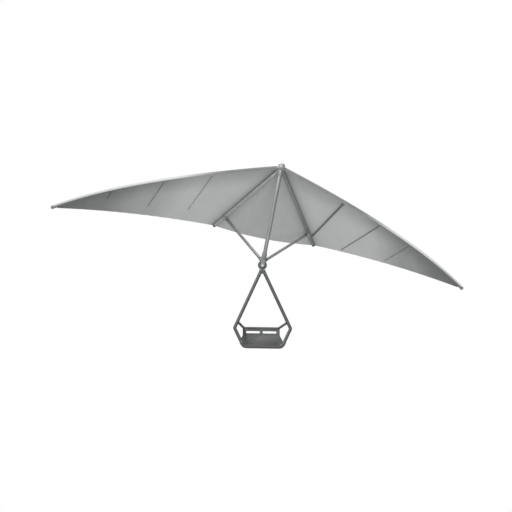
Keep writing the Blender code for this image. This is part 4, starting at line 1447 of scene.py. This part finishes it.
# %% Eyelets at the keel tubes and the tips
EYELET_PLACES = ((0.034, 0.975), (0.955, 0.80))
eyelet_profile = [(-0.0005, 0.0060), (-0.0022, 0.0060), (-0.0030, 0.0080), (-0.0030, 0.0115)]
eyelet_profile += [(-0.0018, 0.0135), (0.0018, 0.0135), (0.0030, 0.0115), (0.0030, 0.0080)]
eyelet_profile += [(0.0022, 0.0060), (0.0005, 0.0060)]
eyelets = []
for side, sign in SIDES:
    for station, chord in EYELET_PLACES:
        spot = sail_point(sign, station, chord)
        eyelets.append(turned("eyelet", eyelet_profile, spot, UP, 32))
wing_piece(join(eyelets, "sail_eyelets"), BOLT_STEEL)
print("eyelets", len(eyelets))

# %% [markdown]
# ## Hub
# The foot of the centre tube sits in a turned collar, with a bridge and two cheeks below it and
# a lug behind, from which the strut sockets leave. Each cheek is a plate with a round eye. A
# boolean melts the two into one shape, and its sharp edges are then rounded together.

# %% Bridge, cheeks and lug
SMALL_ANGLE = 1.0
CHEEK_PLACES = ((-0.0349, -0.023), (0.023, 0.0349))


def unite(piece, other):
    """Melt a second piece into the first one, and clear up the flat faces."""
    combine(piece, other, "UNION")
    edit_all(piece)
    bpy.ops.mesh.dissolve_limited(angle_limit=math.radians(SMALL_ANGLE))
    leave_edit()


cheeks = [block("bridge", (-0.038, -0.035, 0.087), (0.038, 0.035, 0.118), 0.004)]
for near, far in CHEEK_PLACES:
    cheek = block("cheek", (-0.038, near, 0.0), (0.038, far, 0.108), 0)
    unite(cheek, rod("cheek_eye", Vector((0, near, 0)), Vector((0, far, 0)), 0.038, 72, 0))
    add_bevel(cheek, 0.0012, 2)
    cheeks.append(cheek)
cheeks.append(block("strut_lug", (-0.031, 0.030, 0.031), (0.031, 0.078, 0.112), 0.008))
hub_body = join(cheeks, "hub_cheeks")
place(hub_body, HUB_AXES)
print("hub plates", len(cheeks))

# %% [markdown]
# ## Collar and sockets
# The collar and the sockets are round and stand at an angle to the plates. It would be hard to
# turn them in place, so each is made along its own axis, put in its place and only then joined
# to the plates, which makes one casting of them.

# %% Collar and strut sockets, joined to the hub
collar_profile = [(0.0, 0.0360), (0.001, 0.0385), (0.004, 0.0425), (0.008, 0.0450)]
collar_profile += [(0.012, 0.0460), (0.054, 0.0460), (0.070, 0.0446), (0.110, 0.0401)]
collar_profile += [(0.1115, 0.0385), (0.1135, 0.0385), (0.115, 0.0394), (0.119, 0.0388)]
collar_profile += [(0.120, 0.0372), (0.120, 0.0345)]
socket_profile = [(0.0, 0.0300), (0.002, 0.0320), (0.0785, 0.0320), (0.0795, 0.0308)]
socket_profile += [(0.0812, 0.0308), (0.0822, 0.0320), (0.0842, 0.0316), (0.085, 0.0304)]
socket_profile += [(0.085, 0.0258)]
turned_parts = [turned("collar_turned", collar_profile, FOOT, NOSE - FOOT, 80)]
for side, sign in SIDES:
    turned_parts.append(turned("strut_socket", socket_profile, STRUT_ROOT, strut_line(sign), 56))
for part in turned_parts:
    place(part, WING_AXES)
hub_casting = join([hub_body] + turned_parts, "hub_casting")
shade(hub_casting, HARD_EDGES)
dress(hub_casting, HUB_CAST, "wing", ["hub_collar"])
print("hub", len(hub_casting.data.vertices), "points")

# %% [markdown]
# ## Pin and link
# The seat hangs from one pin between the cheeks. The link's disc keeps a full rim and boss
# round a sunk web, so it is light but stiff. Half of each profile is written down, from the
# middle outwards, and the other half is its mirror image.


# %% Roll pin with a centre mark
def both_ways(half):
    """A whole profile from its outer half."""
    return [(-height, radius) for height, radius in half[::-1]] + half


pin_half = [(0.0353, 0.0140), (0.0353, 0.0230), (0.0405, 0.0230), (0.0418, 0.0222)]
pin_half += [(0.0433, 0.0184), (0.0433, 0.0066), (0.0405, 0.0060)]
pin = turned("hub_roll_pin", both_ways(pin_half), ORIGIN, (0, 1, 0), 64)
wing_piece(pin, PIN_STEEL, ["roll_pin"], 30.0, HUB_AXES)
print("roll pin", len(pin.data.vertices), "points")

# %% Link: a disc with a sunk web, and a neck for the cross pin
EYE_HALF = Vector((0.022, 0, 0))
disc_half = [(0.0155, 0.0800), (0.0172, 0.0788), (0.0180, 0.0765), (0.0180, 0.0610)]
disc_half += [(0.0155, 0.0585), (0.0155, 0.0280), (0.0180, 0.0262), (0.0180, 0.0146)]
neck_end = Vector((0, 0, -CROSS_PIN_DROP))
link_parts = [
    turned("link_disc", both_ways(disc_half), ORIGIN, (0, 1, 0), 80),
    block("link_neck", (-0.022, -0.022, -0.105), (0.022, 0.022, -0.071), 0.003),
    block("link_shoulder", (-0.046, -0.017, -0.0765), (0.046, 0.017, -0.050), 0.004),
    rod("link_eye", neck_end - EYE_HALF, neck_end + EYE_HALF, 0.022, 48, 0.002),
]
link_piece(join(link_parts, "link_plate"), LINK_PAINT, ["hang_link"], HARD_EDGES)
print("link parts", len(link_parts))

# %% [markdown]
# ## Spacers
# A rubber spacer on each side keeps the link in the middle of the hub, so that paint never rubs
# on metal while the seat sways. One profile is turned twice, once in each direction.

# %% Spacers between the link and the cheeks
spacer_profile = [(0.0, 0.0200), (0.0004, 0.0212), (0.0036, 0.0212), (0.0042, 0.0204)]
spacer_profile += [(0.0042, 0.0146)]
spacers = []
for turn_sign in (1, -1):
    way = Vector((0, turn_sign, 0))
    spacers.append(turned("spacer", spacer_profile, 0.0182 * way, way, 48))
link_piece(join(spacers, "link_spacers"), RUBBER)
print("spacers", len(spacers))

# %% [markdown]
# ## Bolts of the hub
# Two bolts go through the collar and one through each strut socket, and they show on both sides.
# They are copies of the small bolt, each turned to point straight out of the surface under it.

# %% Bolts through the collar and the strut sockets
hub_spots = []
for turn_sign in (1, -1):
    out = Vector((turn_sign, 0, 0))
    hub_spots.append((Vector((turn_sign * 0.0455, 0, 0.140)), out))
    hub_spots.append((Vector((turn_sign * 0.0430, 0, 0.188)), out))
bolt_set("collar_bolts", SMALL_BOLT, hub_spots, HUB_AXES, "wing")
socket_spots = []
for side, sign in SIDES:
    way = strut_line(sign)
    out = (Vector((0, -1, 0)) - way * -way.y).normalized()
    for turn_sign in (1, -1):
        spot = STRUT_ROOT + 0.066 * way + turn_sign * 0.0318 * out
        socket_spots.append((spot, turn_sign * out))
bolt_set("socket_bolts", SMALL_BOLT, socket_spots, WING_AXES, "wing")
print("hub bolts", len(hub_spots) + len(socket_spots))

# %% [markdown]
# ## Bolts of the strut clamps
# The saddle under each keel tube is bolted across. The bolt heads sit on its flat sides, two
# on each, so the strut can't turn in it.

# %% Bolts on the flat sides of the clamps
CLAMP_SIDE = 0.0358
for side, sign in SIDES:
    way = nose_way(mirrored(KEEL_END, sign))
    turn_z = Matrix.Rotation(math.atan2(-way.x, way.y), 3, "Z")
    spots = []
    for turn_sign in (1, -1):
        for shift in (-0.024, 0.024):
            local = Vector((turn_sign * CLAMP_SIDE, shift, -0.041))
            spots.append((strut_seat(sign) + turn_z @ local, turn_z @ Vector((turn_sign, 0, 0))))
    bolt_set("clamp_bolts_" + side, BOLT, spots, WING_AXES, "wing")
print("clamp bolts", 2 * len(spots))

# %% [markdown]
# ## Seat frame
# The seat hangs in a six-sided hoop of bent steel tube. Each leg runs from the fork out to an
# elbow and in again to the base bar, whose corners are bent wide. A coupling covers the joint.

# %% Paths of the hoop, in the seat's own axes
LEG_TOP = Vector((0.064, 0.0, -0.090))
ELBOW = Vector((0.490, 0.0, -1.065))
BASE_CORNER = Vector((0.335, 0.0, -1.402))
BASE_MIDDLE = Vector((0, 0, BASE_CORNER.z))
LEG_RADIUS = 0.029
ELBOW_BEND = 0.045
BASE_BEND = 0.080
LEAD_IN = 0.012
ARC_STEPS = 16


def rounded_corner(before, corner, after, radius, steps=ARC_STEPS):
    """Points of an arc that rounds the corner between two straight runs."""
    first = (before - corner).normalized()
    second = (after - corner).normalized()
    half_turn = first.angle(second) / 2
    reach = radius / math.tan(half_turn)
    center = corner + (first + second).normalized() * (radius / math.sin(half_turn))
    start = (corner + first * reach - center).normalized()
    end = (corner + second * reach - center).normalized()
    return [center + radius * start.slerp(end, step / steps) for step in range(steps + 1)]


leg_start = (ELBOW - LEG_TOP).normalized()
leg_last = (BASE_CORNER - ELBOW).normalized()
base_bend = rounded_corner(ELBOW, BASE_CORNER, BASE_MIDDLE, BASE_BEND)
leg_end = base_bend[0] - (LEAD_IN + FIT) * leg_last
leg_path = [LEG_TOP + FIT * leg_start]
leg_path += rounded_corner(LEG_TOP, ELBOW, BASE_CORNER, ELBOW_BEND) + [leg_end]
half_base = [base_bend[0] - LEAD_IN * leg_last] + base_bend
base_path = half_base + [mirrored(point, -1) for point in half_base[::-1]]
print("leg path", len(leg_path), "points, base path", len(base_path))

# %% [markdown]
# ## Legs and base bar
# A bent cylinder would kink at its corners, so each leg is a curve with a round section, laid
# along a path with rounded corners. A short sleeve covers the joint between leg and base bar, as
# the real coupling does, and two round screws go into it.

# %% Legs, base bar and the couplings between them
COUPLING_BACK = 0.040
COUPLING_LENGTH = 0.050
COUPLING_RADII = (0.0285, 0.0318)
SCREW_BACK = 0.026
for side, sign in SIDES:
    path = [mirrored(point, sign) for point in leg_path]
    leg = bent_tube("seat_leg_" + side, path, LEG_RADIUS, 20)
    seat_piece(leg, FRAME_COAT, ["leg_" + side])
    last = mirrored(leg_last, sign)
    joint = mirrored(leg_end, sign)
    start = joint - COUPLING_BACK * last
    coupling = sleeve("seat_coupling_" + side, start, last, COUPLING_LENGTH, *COUPLING_RADII)
    seat_piece(coupling, LINK_PAINT)
    spots = []
    for turn_sign in (1, -1):
        out = Vector((0, -turn_sign, 0))
        spots.append((joint - SCREW_BACK * last + (COUPLING_RADII[1] - BOLT_SINK) * out, out))
    bolt_set("coupling_bolts_" + side, SCREW, spots, SEAT_AXES, "seat")
base = bent_tube("seat_base_bar", base_path, LEG_RADIUS, 20)
seat_piece(base, BASE_COAT_PAINTED_SHADE, ["base_bar"])
print("hoop of", len(base.data.vertices), "points in its base")

# %% [markdown]
# ## Arms and back rail
# Two short arms run back from the legs to the rail that holds the seat's back. A ribbed grip
# covers each arm, because the rider holds on there, and a welded boss ends it on the tube. The
# grip's grooves are only rows of its turned profile, repeated along the arm.

# %% The ribs of a grip, as a profile
ARM_RADIUS = 0.016
GRIP_RADIUS = 0.0225
GRIP_ROOT = 0.0209
GRIP_END = 0.0165
GROOVE_PITCH = 0.014


def grip_rows(length):
    """Rows of a grip whose grooves come back at one pitch."""
    rows = [(0.0, GRIP_END), (0.0008, GRIP_RADIUS)]
    for groove in range(int(length / GROOVE_PITCH)):
        here = 0.006 + groove * GROOVE_PITCH
        rows += [(here, GRIP_RADIUS), (here + 0.0015, GRIP_ROOT)]
        rows += [(here + 0.0035, GRIP_ROOT), (here + 0.005, GRIP_RADIUS)]
    return rows + [(length - 0.0008, GRIP_RADIUS), (length, GRIP_END)]


print("grip rows", len(grip_rows(0.3)))

# %% Arms with their bosses and grips
ARM_HEIGHT = -0.951
RAIL_RADIUS = 0.020
RAIL_HALF_WIDTH = 0.325
SEAT_DEPTH = 0.355
LEG_GAP = 0.0025
RAIL_GAP = 0.006
LEG_BOSS = 0.0215
RAIL_BOSS = 0.0205
BOSS_LAP = 0.012
GRIP_MARGIN = 0.015
for side, sign in SIDES:
    top = mirrored(LEG_TOP, sign)
    elbow = mirrored(ELBOW, sign)
    on_leg = top.lerp(elbow, (ARM_HEIGHT - top.z) / (elbow.z - top.z))
    on_rail = Vector((sign * (RAIL_HALF_WIDTH - ARM_RADIUS), SEAT_DEPTH, ARM_HEIGHT))
    way = (on_rail - on_leg).normalized()
    start = on_leg + (LEG_RADIUS + LEG_GAP) * way
    end = on_rail - (RAIL_RADIUS + RAIL_GAP) * way
    arm = rod("seat_arm_" + side, start, end, ARM_RADIUS, 48, 0.002)
    seat_piece(arm, FRAME_COAT, ["arm_" + side])
    bosses = [
        rod("boss_leg", on_leg + 0.016 * way, start + BOSS_LAP * way, LEG_BOSS, 48, 0.002),
        rod("boss_rail", end - 0.010 * way, end + BOSS_LAP * way, RAIL_BOSS, 48, 0.002),
    ]
    seat_piece(join(bosses, "arm_bosses_" + side), FRAME_COAT)
    rows = grip_rows((end - start).length - 2 * GRIP_MARGIN)
    grip = turned("arm_grip_" + side, rows, start + GRIP_MARGIN * way, way, 40)
    seat_piece(grip, GRIP_RUBBER)
print("arms", round((end - start).length, 3), "m long")

# %% [markdown]
# ## Back rail
# One straight tube joins both arms and carries the top of the seat's back. It is a round bar like
# the arms, and moulded caps close its ends, so that no sharp rim is left.

# %% Back rail and its end caps
rail_end = Vector((RAIL_HALF_WIDTH, SEAT_DEPTH, ARM_HEIGHT))
rail = rod("seat_back_rail", mirrored(rail_end, -1), rail_end, RAIL_RADIUS, 56, 0.004)
seat_piece(rail, RAIL_COAT_PAINTED_LIGHT, ["back_rail"])
rail_cap_rows = [(0.0, 0.0150), (0.0008, 0.0162), (0.0030, 0.0150), (0.0046, 0.0110)]
rail_cap_rows += [(0.0050, 0.0050)]
rail_caps = []
for sign in (1, -1):
    out = Vector((sign, 0, 0))
    rail_caps.append(turned("rail_cap", rail_cap_rows, mirrored(rail_end, sign), out, 40))
seat_piece(join(rail_caps, "rail_end_caps"), DARK_PLASTIC)
print("rail", round(2 * rail_end.x, 3), "m wide")

# %% [markdown]
# ## Seat panel
# Pan and back are one sheet, bent up at the heel. It starts as a strip behind the base bar, and
# its back edge is extruded along the side view of the seat. A solidify gives it its thickness,
# and two rounded cutters make the long slots in the back.

# %% Side view of the seat, and how a sheet is bent along it
PAN_FRONT_RISE = 0.010
PAN_REAR_RISE = 0.100
BACK_BEND = 0.070
panel_front = Vector((0, LEG_RADIUS, BASE_CORNER.z + PAN_FRONT_RISE))
panel_heel = Vector((0, SEAT_DEPTH, BASE_CORNER.z + PAN_REAR_RISE))
panel_top = Vector((0, SEAT_DEPTH, ARM_HEIGHT - RAIL_RADIUS - 2 * FIT))
heel_bend = rounded_corner(panel_front, panel_heel, panel_top, BACK_BEND, 10)
side_view = [panel_front] + heel_bend + [panel_top]


def bent_sheet(name, left, right, line, thickness):
    """A strip whose back edge is extruded along a side view, then thickened both ways."""
    run = line[1] - line[0]
    deselect_all()
    bpy.ops.mesh.primitive_plane_add(
        size=1.0, location=(line[0] + line[1]) / 2 + Vector(((left + right) / 2, 0, 0)),
        rotation=(math.atan2(run.z, run.y), 0, 0),
    )
    piece = bpy.context.object
    piece.name = name
    piece.scale = (right - left, run.length, 1)
    apply_transform()
    edit_only(piece, "VERT", lambda vertex: (vertex.co - line[1]).yz.length < 0.0005)
    for before, after in zip(line[1:], line[2:]):
        bpy.ops.mesh.extrude_region_move(TRANSFORM_OT_translate={"value": after - before})
    leave_edit()
    thicken(piece, thickness, even=True)
    return piece


print("side view of the seat", len(side_view), "points")

# %% [markdown]
# ## Slots of the back
# Two long slots make the back lighter. They could be left out of the sheet from the start, but it
# is easier to cut them: a box with four rounded edges is the cutter, and a boolean takes it out
# of the finished sheet.

# %% Bend the panel and cut its slots
SHEET = 0.008
SEAT_HALF_WIDTH = 0.322
SLOT_TOP = 0.030
SLOT_HEIGHT = 0.052
SLOT_INNER = 0.018
SLOT_OUTER = 0.275
SLOT_ROUND = 0.024
slot_z = panel_top.z - SLOT_TOP - SLOT_HEIGHT / 2
slot_x = (SLOT_INNER + SLOT_OUTER) / 2
slot_length = SLOT_OUTER - SLOT_INNER


def runs_through(edge):
    """True for the cutter's edges that run through the sheet."""
    front, back = (cutter.data.vertices[index].co.y for index in edge.vertices)
    return abs(front - back) > 0.01


panel = bent_sheet("seat_sheet", -SEAT_HALF_WIDTH, SEAT_HALF_WIDTH, side_view, SHEET)
for side, sign in SIDES:
    deselect_all()
    bpy.ops.mesh.primitive_cube_add(
        size=1.0, location=(sign * slot_x, SEAT_DEPTH, slot_z), scale=(slot_length, 0.1, SLOT_HEIGHT)
    )
    cutter = bpy.context.object
    edit_only(cutter, "EDGE", runs_through)
    bpy.ops.mesh.bevel(offset=SLOT_ROUND, segments=10)
    leave_edit()
    combine(panel, cutter, "DIFFERENCE")
add_bevel(panel, 0.0018, 2, 50.0)
seat_piece(panel, PANEL_GRAIN, ["seat_panel"], 30.0)
print("seat sheet", len(panel.data.vertices), "points")

# %% [markdown]
# ## Binding of the seat
# The edges of the sheet are bound with dark webbing, which is sewn round both sides and along
# the slots. It hides the cut edge and keeps it from chafing. The side strips are bent along the
# same side view as the panel, only a little thicker.

# %% Binding along the sides, and above and below the slots
BIND_WIDTH = 0.024
BIND_THICK = 0.0016
WELT = 0.008
SLOT_MARGIN = 0.0005
binding = []
for side, sign in SIDES:
    outer = sign * (SEAT_HALF_WIDTH + WELT)
    inner = sign * (SEAT_HALF_WIDTH - BIND_WIDTH)
    left, right = min(outer, inner), max(outer, inner)
    binding.append(bent_sheet("bind_side", left, right, side_view, SHEET + 2 * BIND_THICK))
bind_reach = SEAT_HALF_WIDTH - BIND_WIDTH + 0.002
front_face = SEAT_DEPTH - SHEET / 2 - BIND_THICK / 2
slot_low, slot_high = slot_z - SLOT_HEIGHT / 2, slot_z + SLOT_HEIGHT / 2
below = (slot_low - BIND_WIDTH, slot_low - SLOT_MARGIN)
above = (slot_high + SLOT_MARGIN, panel_top.z - 2 * SLOT_MARGIN)
for low, high in (below, above):
    for depth in (front_face, 2 * SEAT_DEPTH - front_face):
        near, far = depth - BIND_THICK / 2, depth + BIND_THICK / 2
        binding.append(block("bind_strip", (-bind_reach, near, low), (bind_reach, far, high), 0))
bound = join(binding, "seat_binding")
add_bevel(bound, 0.0007, 2, 40.0)
seat_piece(bound, BINDING, (), 30.0)
print("binding strips", len(binding))

# %% [markdown]
# ## Rims of the slots
# The binding lies round each slot as a soft rim. A closed curve with four rounded corners, on the
# outline of the slot, gives it in one go.

# %% Rims of the slots
rims = []
for side, sign in SIDES:
    left, right = sign * slot_x - slot_length / 2, sign * slot_x + slot_length / 2
    outline = ((left, slot_low), (right, slot_low), (right, slot_high), (left, slot_high))
    corners = [Vector((x, SEAT_DEPTH, z)) for x, z in outline]
    loop = []
    for index in range(4):
        before, after = corners[index - 1], corners[(index + 1) % 4]
        loop += rounded_corner(before, corners[index], after, SLOT_ROUND, 8)
    rims.append(bent_tube("slot_rim", loop, 0.0062, 4, None, True))
seat_piece(join(rims, "seat_slot_rims"), BINDING)
print("slot rims", len(rims))

# %% [markdown]
# ## Webs and screws of the seat
# Small webs widen the lower corners of the back. Each is a narrow plate, cut into rows, whose
# outer edge is drawn out in a smooth curve. Screws hold the sheet to the rail and the base bar.

# %% Corner webs
WEB_TOP = -1.070
WEB_WIDEST = -1.195
WEB_FOOT = -1.275
WEB_WIDTH = 0.012
WEB_REACH = 0.048
WEB_CUTS = 15
web_inner = SEAT_HALF_WIDTH - 0.004
webs = []
for side, sign in SIDES:
    deselect_all()
    bpy.ops.mesh.primitive_plane_add(size=1.0, location=(0, 0, 0), rotation=(math.pi / 2, 0, 0))
    web_plate = bpy.context.object
    web_plate.scale = (WEB_WIDTH, WEB_TOP - WEB_FOOT, 1)
    web_plate.location = (sign * (web_inner + WEB_WIDTH / 2), SEAT_DEPTH, (WEB_TOP + WEB_FOOT) / 2)
    apply_transform()
    edit_all(web_plate)
    bpy.ops.mesh.subdivide(number_cuts=WEB_CUTS)
    leave_edit()
    for vertex in web_plate.data.vertices:
        fall = smooth_step(-vertex.co.z, -WEB_TOP, -WEB_WIDEST)
        back_in = 1 - 0.80 * smooth_step(-vertex.co.z, -WEB_WIDEST, -WEB_FOOT)
        out = abs(vertex.co.x) - web_inner
        vertex.co.x = sign * (web_inner + out * (1 + WEB_REACH / WEB_WIDTH * fall * back_in))
    thicken(web_plate, 0.006)
    add_bevel(web_plate, 0.0012, 2, 60.0)
    webs.append(web_plate)
seat_piece(join(webs, "seat_corner_webs"), BINDING, (), 30.0)
print("corner webs", len(webs))

# %% [markdown]
# ## Screws of the panel
# Five screws hold the top of the sheet to the rail, and six more go through its front, where they
# show above and below. They are copies of the screw that was modelled with the bolts.

# %% Screws of the panel
screws = []
for column in range(-2, 3):
    spot = (column * 0.140, SEAT_DEPTH - SHEET / 2 - BIND_THICK, panel_top.z - 0.015)
    screws.append((Vector(spot), (0, -1, 0)))
pan_way = (panel_heel - panel_front).normalized()
pan_up = Vector((0, -pan_way.z, pan_way.y))
for column in (-2.5, -1.5, -0.5, 0.5, 1.5, 2.5):
    spot = panel_front + 0.022 * pan_way + Vector((column * 0.112, 0, 0))
    screws.append((spot + SHEET / 2 * pan_up, pan_up))
    screws.append((spot - SHEET / 2 * pan_up, -pan_up))
bolt_set("seat_screws", SCREW, screws, SEAT_AXES, "seat")
print("seat screws", len(screws))

# %% [markdown]
# ## Fork
# The fork's two ears hold the cross pin, on which the seat swings fore and aft. A guard ring
# shields each of its heads, a split ring keeps it in, and bolts go through the leg sockets.

# %% Ears, crown and leg sockets
EAR_INNER = 0.027
EAR_OUTER = 0.045
leg_socket_profile = [(0.0, 0.0290), (0.002, 0.0310), (0.0600, 0.0310), (0.0610, 0.0299)]
leg_socket_profile += [(0.0628, 0.0299), (0.0638, 0.0310), (0.0670, 0.0308), (0.068, 0.0296)]
fork_parts = [block("crown", (-EAR_OUTER, -0.018, -0.044), (EAR_OUTER, 0.018, -0.029), 0.004)]
for side, sign in SIDES:
    near, far = sorted((sign * EAR_INNER, sign * (EAR_OUTER - 0.0005)))
    fork_parts.append(rod("ear", Vector((near, 0, 0)), Vector((far, 0, 0)), 0.024, 56, 0.002))
    fork_parts.append(block("ear_root", (near, -0.0185, -0.036), (far, 0.0185, -0.004), 0.0015))
    top = mirrored(LEG_TOP, sign)
    way = (mirrored(ELBOW, sign) - top).normalized()
    fork_parts.append(turned("leg_socket", leg_socket_profile, top - 0.068 * way, way, 56))
seat_piece(join(fork_parts, "seat_fork"), FRAME_COAT, ["fork_head"], HARD_EDGES)
print("fork parts", len(fork_parts))

# %% [markdown]
# ## Cross pin
# The cross pin is turned like the roll pin, from half a profile. The split ring that keeps it in
# is a thin torus, and the guards are two short rings round the heads of the pin.

# %% Cross pin with its split ring and guards
cross_half = [(0.0453, 0.0100), (0.0453, 0.0150), (0.0500, 0.0150), (0.0512, 0.0144)]
cross_half += [(0.0523, 0.0130), (0.0523, 0.0040)]
cross = turned("seat_cross_pin", both_ways(cross_half), ORIGIN, (1, 0, 0), 48)
seat_piece(cross, PIN_STEEL, ["cross_pin"], 30.0)
deselect_all()
bpy.ops.mesh.primitive_torus_add(
    location=(0.0545, 0, -0.006), rotation=(0, math.pi / 2, 0), major_radius=0.011,
    minor_radius=0.0011, major_segments=36, minor_segments=8,
)
split_ring = bpy.context.object
split_ring.name = "pin_split_ring"
seat_piece(split_ring, BOLT_STEEL)
guards = []
for sign in (1, -1):
    out = Vector((sign, 0, 0))
    guards.append(sleeve("pin_guard", 0.0453 * out, out, 0.0115, 0.0156, 0.0238, 0.002))
seat_piece(join(guards, "cross_pin_guards"), FRAME_COAT)
print("cross pin guards", len(guards))

# %% [markdown]
# ## Bolts of the fork
# A bolt goes through each leg socket and shows in front and behind. These are the last copies,
# so the bolts and the screw that stood model for them are taken out of the scene.

# %% Bolts of the leg sockets
fork_spots = []
for side, sign in SIDES:
    top = mirrored(LEG_TOP, sign)
    way = (mirrored(ELBOW, sign) - top).normalized()
    for turn_sign in (1, -1):
        spot = top - 0.018 * way + Vector((0, turn_sign * 0.0308, 0))
        fork_spots.append((spot, (0, turn_sign, 0)))
bolt_set("fork_bolts", SMALL_BOLT, fork_spots, SEAT_AXES, "seat")
for master in (BOLT, SMALL_BOLT, SCREW):
    bpy.data.objects.remove(master, do_unlink=True)
print("fork bolts", len(fork_spots))

# %% [markdown]
# ## Strut clamps of the frame
# The strut clamps are plain bored blocks, which the frame already shapes in full. So they stay,
# and only get their finish.

# %% Put the finish on the frame's strut clamps
for side, sign in SIDES:
    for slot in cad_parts["strut_clamp_" + side].material_slots:
        slot.material = BRIGHT
print("finished nodes", len(SIDES))
